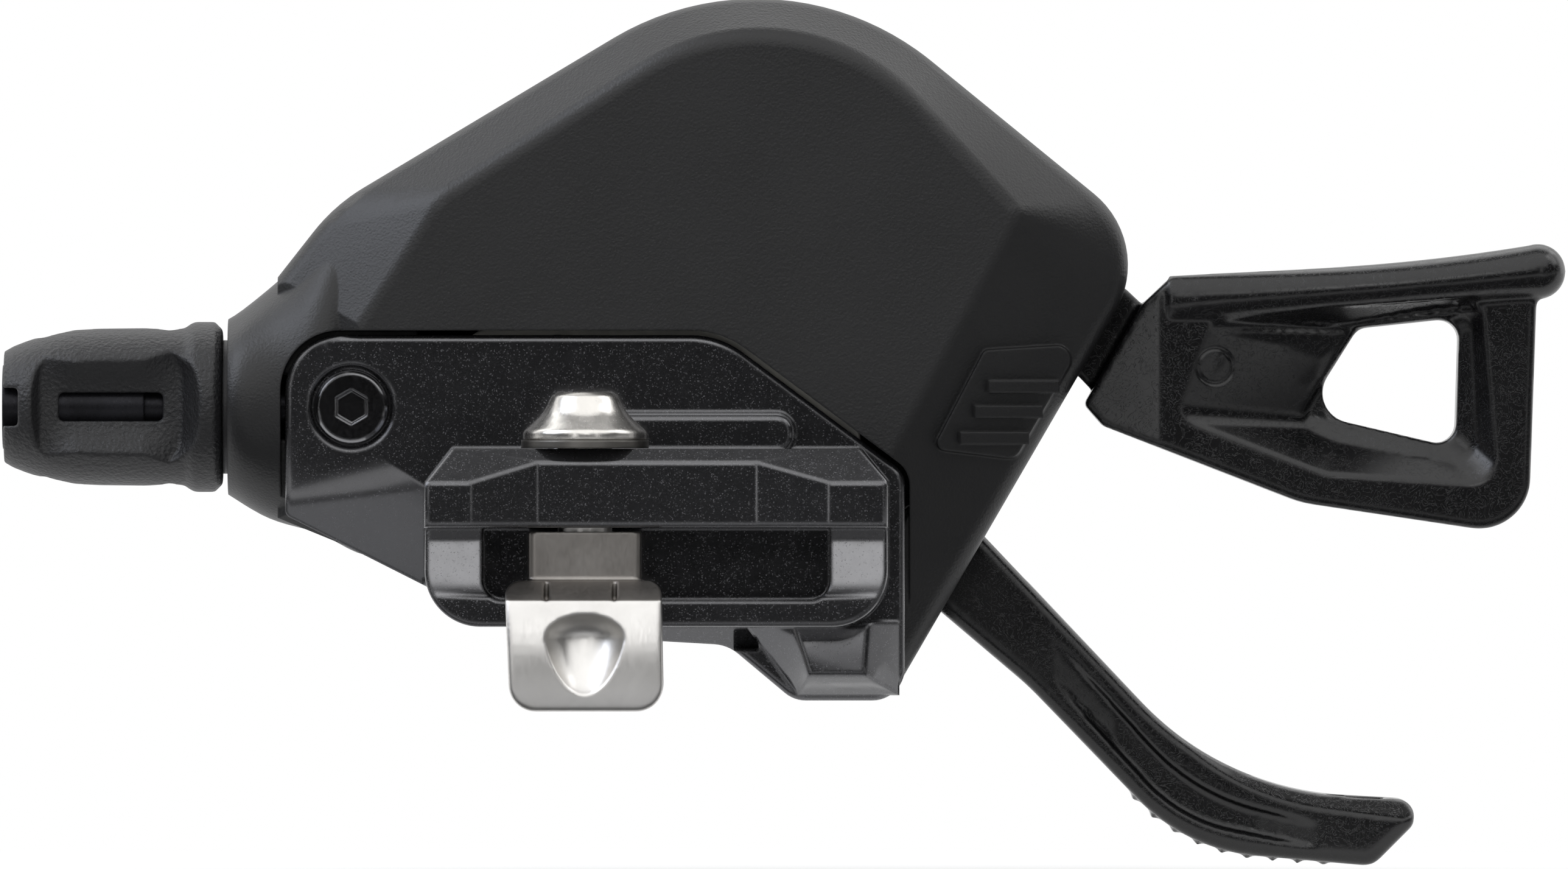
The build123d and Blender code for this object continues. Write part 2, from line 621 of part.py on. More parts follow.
nut_base = slide_play + washer_height
flange_top = nut_base + flange_height
flare_top = cone_top_radius
with BuildPart() as cone_nut:
    with BuildSketch(Plane.XZ):
        with BuildLine():
            Polyline(
                (flare_top, cone_height - 0.3), (flare_top - 0.3, cone_height), (0, cone_height),
                (0, nut_base), (cone_base_radius, nut_base), (cone_base_radius, flange_top - 0.2),
                (cone_base_radius - 0.2, flange_top),
            )  # fmt: skip
            Spline(
                (cone_base_radius - 0.2, flange_top), (cone_base_radius - 1.35, flange_top + 0.8),
                (flare_top, cone_height - 0.3), tangents=((-1.0, 0.4), (-0.12, 1.0)),
            )  # fmt: skip
        make_face()
    revolve(axis=Axis.Z)
    with BuildSketch(Plane.XY):
        Circle(bolt_radius + seat)
    extrude(amount=bolt_top + 0.1, mode=Mode.SUBTRACT)
save(cone_nut.part, "cone_nut")

# Adjuster insert: threaded block in the nose, which also takes the bracket screw
with BuildPart() as adjuster_insert:
    add(cylinder_along_x(insert_radius, detent_bore_end, insert_end))
    add(round_bar(insert_radius, cable_y, plate_back, bracket_screw_spot))
    bolt_hole = cylinder_along_x(bolt_shank_radius + running, detent_bore_end - 1, insert_end + 1)
    add(bolt_hole, mode=Mode.SUBTRACT)
    screw_bore = bracket_screw_radius + seat
    screw_hole = round_bar(screw_bore, bracket_screw_end + 0.2, plate_back - 1, bracket_screw_spot)
    add(screw_hole, mode=Mode.SUBTRACT)
save(adjuster_insert.part, "adjuster_insert")

# Adjuster knob with three flat grips, slots and end notches
cable_axis = Axis((0, cable_y, cable_z), (1, 0, 0))
knob_half = [
    (0, bolt_head_radius + seat), *knob_profile, (collar_start - 0.5, knob_profile[-1][1]),
    (collar_start, collar_radius - 0.1), (collar_start + 0.3, collar_radius),
    (knob_length - 0.6, collar_radius), (knob_length, collar_radius - 0.6),
    (knob_length, bolt_shank_radius + seat), (knob_bore_length, bolt_shank_radius + seat),
    (knob_bore_length, bolt_head_radius + seat),
]  # fmt: skip
scoop_middle = knob_left + scoop_start + scoop_length / 2
with BuildPart() as adjuster_knob:
    with BuildSketch(at_depth(cable_y)):
        with BuildLine():
            Polyline(*[(knob_left + x, cable_z + r) for x, r in knob_half], close=True)
        make_face()
    revolve(axis=cable_axis)
    for turn in (0, 120, 240):
        out = Vector(0, -cos(radians(turn)), sin(radians(turn)))
        centre = Vector(0, cable_y, cable_z)
        with BuildSketch(Plane(centre + out * scoop_floor, x_dir=(1, 0, 0), z_dir=out)):
            with Locations((scoop_middle, 0)):
                RectangleRounded(scoop_length, 2 * scoop_half, 2.0)
        extrude(amount=4, taper=-scoop_flare, mode=Mode.SUBTRACT)
        with BuildSketch(Plane(centre + out * (bolt_head_radius - 0.5), x_dir=(1, 0, 0), z_dir=out)):
            with Locations((scoop_middle, 0)):
                RectangleRounded(scoop_length - 2 * grip_slot_margin, 2 * grip_slot_half, 0.3)
            with Locations((knob_left, 0)):
                Rectangle(2 * end_notch_depth, 2 * end_notch_half)
        extrude(amount=4, mode=Mode.SUBTRACT)
save(adjuster_knob.part, "adjuster_knob")

# Adjuster bolt: socket for the cable housing and a hollow threaded shank
with BuildPart() as adjuster_bolt:
    add(cylinder_along_x(bolt_head_radius, bolt_left, bolt_left + bolt_head_length))
    add(cylinder_along_x(bolt_shank_radius, bolt_left + bolt_head_length, bolt_left + bolt_length))
    socket = cylinder_along_x(housing_socket_radius, bolt_left - 1, bolt_left + housing_socket_depth)
    add(socket, mode=Mode.SUBTRACT)
    cable_hole = cylinder_along_x(inner_cable_radius, bolt_left - 1, bolt_left + bolt_length + 1)
    add(cable_hole, mode=Mode.SUBTRACT)
save(adjuster_bolt.part, "adjuster_bolt")

# Click ring and its spring, between the knob and the insert
ring_left = knob_right + slide_play
ring_right = ring_left + click_ring_thickness
with BuildPart() as click_ring:
    add(cylinder_along_x(detent_bore_radius - running, ring_left, ring_right))
    add(cylinder_along_x(bolt_shank_radius + running, ring_left - 1, ring_right + 1), mode=Mode.SUBTRACT)
save(click_ring.part, "click_ring")

# Base plate inside the housing, with the post of the latch pawl
base_outline = [(-10.5, 7.0), (0.0, 14.0), (20.0, 4.0), (21.0, -6.0), (16.0, -9.0), (-9.0, -3.5)]
with BuildPart() as base_plate:
    with BuildSketch(at_depth(base_back)):
        with BuildLine():
            Polyline(*base_outline, close=True)
        make_face()
        with Locations((axle_x, axle_z)):
            Circle(12.8)
            Circle(axle_radius + seat, mode=Mode.SUBTRACT)
        with Locations(polar(pawl_reach, latch_angle)):
            Circle(pawl_pin + seat, mode=Mode.SUBTRACT)
    extrude(amount=base_back - base_front)
save(base_plate.part, "base_plate")

latch_spot = polar(pawl_reach, latch_angle)
feed_spot = polar(pawl_reach, feed_angle)
save(round_bar(pawl_pin, ratchet_back + 0.3, base_front, [latch_spot]), "latch_post")

# Main axle with its nut
axle_spot = (axle_x, axle_z)
with BuildPart() as main_axle:
    add(round_bar(4.2, base_front, axle_head_front, [axle_spot]))
    add(round_bar(axle_radius, axle_nut_front - 0.1, base_front, [axle_spot]))
    add(round_bar(axle_radius - 0.6, axle_nut_back, axle_nut_front - 0.1, [axle_spot]))
save(main_axle.part, "main_axle")

with BuildPart() as axle_nut:
    with BuildSketch(at_depth(axle_nut_back)):
        with Locations(axle_spot):
            RegularPolygon(4.0, 6)
            Circle(axle_radius - 0.6 + seat, mode=Mode.SUBTRACT)
    extrude(amount=axle_nut_back - axle_nut_front)
save(axle_nut.part, "axle_nut")

with BuildPart() as lever_spacer:
    with BuildSketch(at_depth(arm_back - 0.05)):
        with Locations(axle_spot):
            Circle(axle_radius + 1.6)
            Circle(axle_radius + seat, mode=Mode.SUBTRACT)
    extrude(amount=arm_back - release_plate_back - 0.1)
save(lever_spacer.part, "lever_spacer")

# Winder: cable spool with a groove, a hollow for its spring and a boss for the ratchet
with BuildPart() as winder:
    add(round_bar(winder_radius, winder_back, winder_front, [axle_spot]))
    add(round_bar(axle_radius + 1.6, neck_back - 0.1, winder_back, [axle_spot]))
    with BuildSketch(at_depth(cable_y + groove_half)):
        with Locations(axle_spot):
            Circle(winder_radius + 1)
            Circle(groove_radius, mode=Mode.SUBTRACT)
    extrude(amount=2 * groove_half, mode=Mode.SUBTRACT)
    with BuildSketch(at_depth(winder_front)):
        with Locations(axle_spot):
            Circle(spring_outer)
            Circle(spring_inner - 0.5, mode=Mode.SUBTRACT)
    extrude(amount=-1.4, mode=Mode.SUBTRACT)
    add(round_bar(axle_radius + running, far_y, 0, [axle_spot]), mode=Mode.SUBTRACT)
save(winder.part, "winder")

tooth_points = []
for i in range(teeth):
    start = 360 / teeth * i
    tooth_points.append(polar(tooth_tip, start))
    tooth_points.append(polar(tooth_root, start + 2))
with BuildPart() as ratchet_wheel:
    with BuildSketch(at_depth(ratchet_back)):
        with BuildLine():
            Polyline(*tooth_points, close=True)
        make_face()
        with Locations(axle_spot):
            Circle(axle_radius + 1.6 + seat, mode=Mode.SUBTRACT)
    extrude(amount=ratchet_back - winder_back)
save(ratchet_wheel.part, "ratchet_wheel")

# Spiral spring that turns the winder back, drawn as half turns about two centres
half_turns, spiral_step, strip = 5, 0.6, 0.2
with BuildPart() as winder_spring:
    with BuildSketch(at_depth(winder_front + 1.3)):
        for i in range(half_turns):
            hub = (axle_x + (spiral_step / 2 if i % 2 else -spiral_step / 2), axle_z)
            radius = spring_inner + 0.3 + spiral_step * i
            with BuildLine():
                near_curve = CenterArc(hub, radius - strip, 180 * i, 180)
                far_curve = CenterArc(hub, radius + strip, 180 * i, 180)
                Line(near_curve @ 0, far_curve @ 0)
                Line(near_curve @ 1, far_curve @ 1)
            make_face()
    extrude(amount=1.2)
save(winder_spring.part, "winder_spring")


def pawl_form(spot, angle):
    # Pawl with its nose ahead of its pivot, just clear of the tooth tips
    with BuildPart() as pawl:
        with BuildSketch(at_depth(ratchet_back - 0.05)):
            with Locations(spot):
                Circle(pawl_head)
            with BuildLine():
                Polyline(
                    polar(pawl_reach + pawl_head - 0.1, angle + 1),
                    polar(pawl_nose_radius + 1.1, angle + nose_ahead),
                    polar(pawl_nose_radius, angle + nose_ahead),
                    polar(pawl_reach - pawl_head + 0.1, angle + 1),
                    close=True,
                )
            make_face()
            with Locations(spot):
                Circle(pawl_pin + running, mode=Mode.SUBTRACT)
        extrude(amount=ratchet_back - winder_back - 0.1)
    return pawl.part


save(pawl_form(feed_spot, feed_angle), "feed_pawl")
save(pawl_form(latch_spot, latch_angle), "latch_pawl")
save(round_bar(pawl_pin, main_plate_back, winder_back - 0.2, [feed_spot]), "feed_pawl_pin")

# Main lever: moulded thumb lever on a steel plate
with BuildLine() as thumb_edge:
    FilletPolyline(paddle_outline[6], paddle_outline[5], paddle_outline[4], radius=paddle_radii[5])
with BuildPart() as thumb_ribs_form:
    for i in range(thumb_ribs):
        share = 0.38 + 0.5 * i / (thumb_ribs - 1)
        place = thumb_edge.line @ share
        along = thumb_edge.line % share
        with BuildSketch(at_depth(paddle_back - 2.2)):
            with Locations((place.X - thumb_rib_sink * along.Y, place.Y + thumb_rib_sink * along.X)):
                RegularPolygon(thumb_rib_radius, 4, rotation=degrees(atan2(along.Y, along.X)))
        extrude(amount=paddle_back - paddle_front - 3.8)

# Top face of the paddle, which leans towards the front, from a ridge to the upper edge
with BuildPart() as ridge_cut:
    with BuildSketch(at_depth(paddle_front)):
        make_face(rounded(ridge_outline, ridge_radii))
    extrude(amount=-6, taper=ridge_slope)

web_left, web_right = web_ends
web_floor = [
    (web_left, paddle_front - 1), (web_left, paddle_front), (web_left + web_fade, paddle_front + web_depth),
    (web_right - web_fade, paddle_front + web_depth), (web_right, paddle_front),
    (web_right, paddle_front - 1),
]  # fmt: skip
with BuildPart() as web_cut:
    with BuildSketch(at_depth(paddle_front + 2)):
        make_face(rounded(web_outline, web_radii))
    extrude(amount=4)
    with BuildSketch(Plane.XY.offset(-40)):
        with BuildLine():
            Polyline(*web_floor, close=True)
        make_face()
    extrude(amount=40, mode=Mode.INTERSECT)

root_outline = paddle_outline[1:-1] + [root_lower, root_upper]
root_radii = paddle_radii[1:-1] + [0, 0]
with BuildPart() as main_lever:
    with BuildSketch(at_depth(arm_back)):
        make_face(rounded(root_outline, root_radii))
    extrude(amount=arm_back - paddle_front)
    fillet(level_edges(main_lever.part, paddle_front), front_edge)
    with BuildSketch(at_depth(paddle_back)):
        make_face(rounded(paddle_outline, paddle_radii))
    extrude(amount=paddle_back - arm_back)
    fillet(level_edges(main_lever.part, paddle_back), back_edge)
    add(ridge_cut.part, mode=Mode.SUBTRACT)
    add(web_cut.part, mode=Mode.SUBTRACT)
    with BuildSketch(at_depth(arm_back)):
        with BuildLine():
            Polyline(*arm_outline, close=True)
        make_face()
    extrude(amount=arm_back - arm_front)
    with BuildSketch(at_depth(core_back)):
        for core in (left_core, right_core):
            with BuildLine():
                Polyline(*core, close=True)
            make_face()
    extrude(amount=core_back - core_front, mode=Mode.SUBTRACT)
    add(thumb_ribs_form.part)
    main_rivet_holes = round_bar(main_rivet_radius + seat, arm_back + 1, arm_front - 1, main_rivet_spots)
    add(main_rivet_holes, mode=Mode.SUBTRACT)
save(main_lever.part, "main_lever")

with BuildPart() as main_lever_plate:
    with BuildSketch(at_depth(main_plate_back)):
        with Locations(axle_spot):
            Circle(6.5)
        with Locations(feed_spot):
            Circle(2.4)
        with Locations(main_rivet_spots[1]):
            Circle(2.6)
        with BuildLine():
            Polyline(
                polar(6.4, 165), polar(pawl_reach + 1, feed_angle + 7),
                polar(pawl_reach + 1, feed_angle - 7), polar(6.4, 0), close=True,
            )  # fmt: skip
        make_face()
        with BuildLine():
            Polyline(polar(6.4, 190), polar(6.4, 10), (26.9, -4.6), (22.6, -7.4), close=True)
        make_face()
        with Locations(axle_spot):
            Circle(axle_radius + running, mode=Mode.SUBTRACT)
        with Locations(feed_spot):
            Circle(pawl_pin + seat, mode=Mode.SUBTRACT)
        with Locations(*main_rivet_spots):
            Circle(main_rivet_radius + seat, mode=Mode.SUBTRACT)
    extrude(amount=main_plate_back - arm_back)
save(main_lever_plate.part, "main_lever_plate")
save(round_bar(main_rivet_radius, main_plate_back, arm_front, main_rivet_spots), "main_lever_rivets")

# Release lever: moulded finger loop on a steel plate
with BuildPart() as funnel:
    funnel_levels = (
        (frame_front - 0.5, inset_outline(funnel_rim, funnel_radii, -0.4)),
        (frame_front + floor_depth, (funnel_mid, funnel_radii)),
        (funnel_back, (funnel_end, funnel_radii)),
    )
    for y, (corners, radii) in funnel_levels:
        with BuildSketch(at_depth(y)):
            make_face(rounded(corners, radii))
    loft(ruled=True)

with BuildPart() as top_bar:
    for x, z, half_z, half_y in bar_sections:
        with BuildSketch(Plane.YZ.offset(x)):
            with Locations((bar_axis_y, z)):
                Ellipse(half_y, half_z)
    loft()
    end_x, end_z, end_half_z, end_half_y = bar_sections[-1]
    with Locations((end_x, bar_axis_y, end_z)):
        Sphere(end_half_z)

facet = [
    (facet_right - 10, frame_front - 2), (facet_right, frame_front - 2), (facet_right, frame_front),
    (facet_right - 6, frame_front + facet_depth), (facet_right - 10, frame_front + facet_depth),
]  # fmt: skip
with BuildPart() as release_lever:
    with BuildSketch(at_depth(frame_back)):
        make_face(rounded(release_outline, release_radii))
    extrude(amount=frame_back - frame_front)
    fillet(level_edges(release_lever.part, frame_front), frame_edge)
    with BuildSketch(Plane.XY.offset(-10)):
        with BuildLine():
            Polyline(*facet, close=True)
        make_face()
    extrude(amount=30, mode=Mode.SUBTRACT)
    add(top_bar.part)
    add(funnel.part, mode=Mode.SUBTRACT)
    with BuildSketch(at_depth(frame_back)):
        make_face(rounded(finger_window, window_radii))
    extrude(amount=frame_back - frame_front, mode=Mode.SUBTRACT)
    add(round_bar(ejector_radius, ejector_back, ejector_front, [ejector_spot]), mode=Mode.SUBTRACT)
    with BuildSketch(at_depth(neck_back)):
        with BuildLine():
            Polyline(*neck_outline, close=True)
        make_face()
    extrude(amount=neck_back - neck_front)
    rivet_holes = round_bar(release_rivet_radius + seat, far_y, neck_front - 1, release_rivet_spots)
    add(rivet_holes, mode=Mode.SUBTRACT)
save(release_lever.part, "release_lever")

with BuildPart() as release_plate:
    with BuildSketch(at_depth(release_plate_back)):
        with Locations(axle_spot):
            Circle(6.0)
        with BuildLine():
            Polyline(polar(5.9, 95), (33.0, 12.6), (33.0, 6.2), polar(5.9, 250), close=True)
        make_face()
        with Locations(axle_spot):
            Circle(axle_radius + running, mode=Mode.SUBTRACT)
        with Locations(*release_rivet_spots):
            Circle(release_rivet_radius + seat, mode=Mode.SUBTRACT)
    extrude(amount=release_plate_back - neck_back)
save(release_plate.part, "release_plate")
save(round_bar(release_rivet_radius, release_plate_back, neck_front, release_rivet_spots), "release_rivets")


def coil_form(start, direction, radius, length, turns):
    # Coil spring around an axis, with a six-sided wire
    with BuildLine() as coil:
        Helix(pitch=length / turns, height=length, radius=radius, center=start, direction=direction)
    with BuildPart() as spring:
        with BuildSketch(Plane(coil.line @ 0, z_dir=coil.line % 0)):
            RegularPolygon(wire_radius, 6)
        sweep(path=coil.line, is_frenet=True)
    return spring.part


# Return springs of the two levers and the spring behind the click ring
wire_radius = 0.35
coil_room = wire_radius + 0.05
main_spring_length = axle_nut_back - main_plate_back - 2 * coil_room
release_spring_length = arm_back - release_plate_back - 2 * coil_room
ring_spring_length = detent_bore_end - ring_right - 2 * coil_room
away = (0, 1, 0)
lever_coil, ring_coil = 5.6, 4.2
main_coil_start = (axle_x, main_plate_back + coil_room, axle_z)
release_coil_start = (axle_x, release_plate_back + coil_room, axle_z)
ring_coil_start = (ring_right + coil_room, cable_y, cable_z)
save(coil_form(main_coil_start, away, lever_coil, main_spring_length, 2), "main_lever_spring")
save(coil_form(release_coil_start, away, lever_coil, release_spring_length, 2), "release_spring")
save(coil_form(ring_coil_start, (1, 0, 0), ring_coil, ring_spring_length, 3), "adjuster_spring")
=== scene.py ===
import json
import math

import bmesh
import bpy
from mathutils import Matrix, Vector


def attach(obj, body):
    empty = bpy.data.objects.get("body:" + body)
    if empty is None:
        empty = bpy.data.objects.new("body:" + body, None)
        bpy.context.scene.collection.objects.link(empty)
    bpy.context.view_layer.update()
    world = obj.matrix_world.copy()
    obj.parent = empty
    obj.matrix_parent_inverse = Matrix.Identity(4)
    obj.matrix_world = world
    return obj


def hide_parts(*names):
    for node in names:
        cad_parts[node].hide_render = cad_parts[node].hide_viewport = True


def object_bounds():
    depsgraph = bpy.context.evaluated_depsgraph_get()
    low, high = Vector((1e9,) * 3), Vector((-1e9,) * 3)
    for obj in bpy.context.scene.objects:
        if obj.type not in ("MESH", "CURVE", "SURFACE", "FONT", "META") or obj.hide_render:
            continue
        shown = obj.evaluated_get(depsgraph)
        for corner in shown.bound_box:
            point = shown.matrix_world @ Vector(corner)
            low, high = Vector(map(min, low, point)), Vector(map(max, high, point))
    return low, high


millimetre = 0.001

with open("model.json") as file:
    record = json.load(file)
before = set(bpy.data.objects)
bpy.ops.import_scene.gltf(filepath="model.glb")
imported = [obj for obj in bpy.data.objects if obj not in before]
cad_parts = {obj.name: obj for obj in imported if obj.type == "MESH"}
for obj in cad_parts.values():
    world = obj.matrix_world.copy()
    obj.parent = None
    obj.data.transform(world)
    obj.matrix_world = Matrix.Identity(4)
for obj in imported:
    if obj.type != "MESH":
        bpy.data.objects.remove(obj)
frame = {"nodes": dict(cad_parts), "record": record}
cadNodes = frame["nodes"]
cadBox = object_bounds()
print("frame loaded:", len(cadNodes), "nodes")


# colours are written as sRGB hex and turned to linear here
def hexToLinear(code):
    channels = [int(code[i : i + 2], 16) / 255 for i in (1, 3, 5)]
    return tuple(c / 12.92 if c < 0.04045 else ((c + 0.055) / 1.055) ** 2.4 for c in channels) + (1.0,)


# adds one node: settings go to its properties or sockets, links join other nodes' outputs to its sockets
def addNode(tree, kind, settings=None, links=None):
    node = tree.nodes.new(kind)
    for name, value in (settings or {}).items():
        if isinstance(name, str) and hasattr(node, name):
            setattr(node, name, value)
        else:
            node.inputs[name].default_value = value
    for name, source in (links or {}).items():
        tree.links.new(source, node.inputs[name])
    return node


# a material with a Principled shader, whose settings are the same all over the surface
def startFinish(name, settings):
    finish = bpy.data.materials.new(name)
    finish.use_nodes = True
    tree = finish.node_tree
    tree.nodes.clear()
    shader = addNode(tree, "ShaderNodeBsdfPrincipled", settings)
    addNode(tree, "ShaderNodeOutputMaterial", links={"Surface": shader.outputs["BSDF"]})
    return finish, tree, shader


# a colour Mix node's sockets go by number, because it has others of the same names
mixFactor, mixFirst, mixSecond, mixResult = 0, 6, 7, 2

# nearly all of a noise's values lie in the first span; the second leaves clear patches at both ends
noiseSpan = {"From Min": 0.3, "From Max": 0.7}
patchSpan = {"From Min": 0.35, "From Max": 0.65}


# plastic from a spark-eroded mould: fine pebbles scatter the light, and the dullness drifts slowly;
# the pebbles are drawn coarser than real ones, so that they show
def mouldedGrain(name, look):
    finish, tree, shader = startFinish(name, {"IOR": 1.5, "Specular IOR Level": look["specular"]})
    place = addNode(tree, "ShaderNodeTexCoord").outputs["Object"]
    pebbles = addNode(
        tree,
        "ShaderNodeTexVoronoi",
        {"feature": "SMOOTH_F1", "Scale": 1 / look["pebble"], "Smoothness": 0.7},
        {"Vector": place},
    )
    grit = addNode(
        tree,
        "ShaderNodeTexNoise",
        {"Scale": 1 / look["grit"], "Detail": 3.0, "Distortion": 0.6},
        {"Vector": place},
    )
    relief = addNode(
        tree,
        "ShaderNodeMath",
        {"operation": "ADD"},
        {0: pebbles.outputs["Distance"], 1: grit.outputs["Fac"]},
    )
    edge = addNode(tree, "ShaderNodeBevel", {"samples": 4, "Radius": look["softEdge"]})
    bump = addNode(
        tree,
        "ShaderNodeBump",
        {"Strength": look["bump"], "Distance": look["depth"]},
        {"Height": relief.outputs["Value"], "Normal": edge.outputs["Normal"]},
    )
    drift = addNode(
        tree,
        "ShaderNodeTexNoise",
        {"Scale": 1 / look["drift"], "Detail": 2.0},
        {"Vector": place},
    )
    colour = addNode(
        tree,
        "ShaderNodeMix",
        {"data_type": "RGBA", mixFirst: hexToLinear(look["dark"]), mixSecond: hexToLinear(look["light"])},
        {mixFactor: drift.outputs["Fac"]},
    )
    dullness = addNode(
        tree,
        "ShaderNodeMapRange",
        {**noiseSpan, "To Min": look["roughLow"], "To Max": look["roughHigh"]},
        {"Value": drift.outputs["Fac"]},
    )
    tree.links.new(colour.outputs[mixResult], shader.inputs["Base Color"])
    tree.links.new(dullness.outputs["Result"], shader.inputs["Roughness"])
    tree.links.new(bump.outputs["Normal"], shader.inputs["Normal"])
    return finish


# glass-filled nylon: fibres swirl through a half-gloss skin and catch the light unevenly;
# the fibres are drawn wider and further apart than real ones, so that they show
def glassNylon(name, look):
    finish, tree, shader = startFinish(name, {"IOR": 1.53, "Specular IOR Level": look["specular"]})
    place = addNode(tree, "ShaderNodeTexCoord").outputs["Object"]
    flow = addNode(
        tree,
        "ShaderNodeTexNoise",
        {"Scale": 1 / look["swirl"], "Detail": 4.0, "Distortion": 2.6},
        {"Vector": place},
    )
    fromMiddle = addNode(tree, "ShaderNodeMath", {"operation": "SUBTRACT", 1: 0.5}, {0: flow.outputs["Fac"]})
    ridge = addNode(tree, "ShaderNodeMath", {"operation": "ABSOLUTE"}, {0: fromMiddle.outputs["Value"]})
    fibres = addNode(
        tree,
        "ShaderNodeMapRange",
        {"From Min": 0.0, "From Max": look["fibreWidth"], "To Min": 1.0, "To Max": 0.0},
        {"Value": ridge.outputs["Value"]},
    ).outputs["Result"]
    edge = addNode(tree, "ShaderNodeBevel", {"samples": 4, "Radius": look["softEdge"]})
    bump = addNode(
        tree,
        "ShaderNodeBump",
        {"Strength": look["bump"], "Distance": look["depth"]},
        {"Height": fibres, "Normal": edge.outputs["Normal"]},
    )
    colour = addNode(
        tree,
        "ShaderNodeMix",
        {"data_type": "RGBA", mixFirst: hexToLinear(look["dark"]), mixSecond: hexToLinear(look["light"])},
        {mixFactor: fibres},
    )
    cloud = addNode(
        tree,
        "ShaderNodeTexNoise",
        {"Scale": 1 / look["cloud"], "Detail": 3.0},
        {"Vector": place},
    )
    skin = addNode(
        tree,
        "ShaderNodeMapRange",
        {**noiseSpan, "To Min": look["roughLow"], "To Max": look["roughHigh"]},
        {"Value": cloud.outputs["Fac"]},
    )
    dullness = addNode(
        tree,
        "ShaderNodeMath",
        {"operation": "MULTIPLY_ADD", 1: look["fibreDull"]},
        {0: fibres, 2: skin.outputs["Result"]},
    )
    tree.links.new(colour.outputs[mixResult], shader.inputs["Base Color"])
    tree.links.new(dullness.outputs["Value"], shader.inputs["Roughness"])
    tree.links.new(bump.outputs["Normal"], shader.inputs["Normal"])
    return finish


# gloss black powder coat: a dark film under a clear one that mirrors the lights, with flake as dull specks;
# the flakes are drawn coarser than real ones, so that they show
def flakePaint(name, look):
    settings = {
        "Metallic": look["metallic"],
        "Coat Weight": look["coat"],
        "Coat Roughness": look["coatRough"],
    }
    finish, tree, shader = startFinish(name, settings)
    place = addNode(tree, "ShaderNodeTexCoord").outputs["Object"]
    cells = addNode(
        tree,
        "ShaderNodeTexVoronoi",
        {"feature": "F1", "Scale": 1 / look["flake"]},
        {"Vector": place},
    )
    pick = addNode(tree, "ShaderNodeSeparateColor", links={"Color": cells.outputs["Color"]})
    flakes = addNode(
        tree,
        "ShaderNodeMapRange",
        {"From Min": look["flakeless"], "From Max": 1.0, "To Min": 0.0, "To Max": 1.0},
        {"Value": pick.outputs["Red"]},
    ).outputs["Result"]
    colour = addNode(
        tree,
        "ShaderNodeMix",
        {
            "data_type": "RGBA",
            mixFirst: hexToLinear(look["dark"]),
            mixSecond: hexToLinear(look["flakeColour"]),
        },
        {mixFactor: flakes},
    )
    film = addNode(
        tree,
        "ShaderNodeTexNoise",
        {"Scale": 1 / look["film"], "Detail": 2.0},
        {"Vector": place},
    )
    gloss = addNode(
        tree,
        "ShaderNodeMapRange",
        {**noiseSpan, "To Min": look["roughLow"], "To Max": look["roughHigh"]},
        {"Value": film.outputs["Fac"]},
    )
    dullness = addNode(
        tree,
        "ShaderNodeMath",
        {"operation": "MULTIPLY_ADD", 1: look["flakeDull"]},
        {0: flakes, 2: gloss.outputs["Result"]},
    )
    edge = addNode(tree, "ShaderNodeBevel", {"samples": 6, "Radius": look["softEdge"]})
    tree.links.new(colour.outputs[mixResult], shader.inputs["Base Color"])
    tree.links.new(dullness.outputs["Value"], shader.inputs["Roughness"])
    tree.links.new(edge.outputs["Normal"], shader.inputs["Normal"])
    tree.links.new(edge.outputs["Normal"], shader.inputs["Coat Normal"])
    return finish


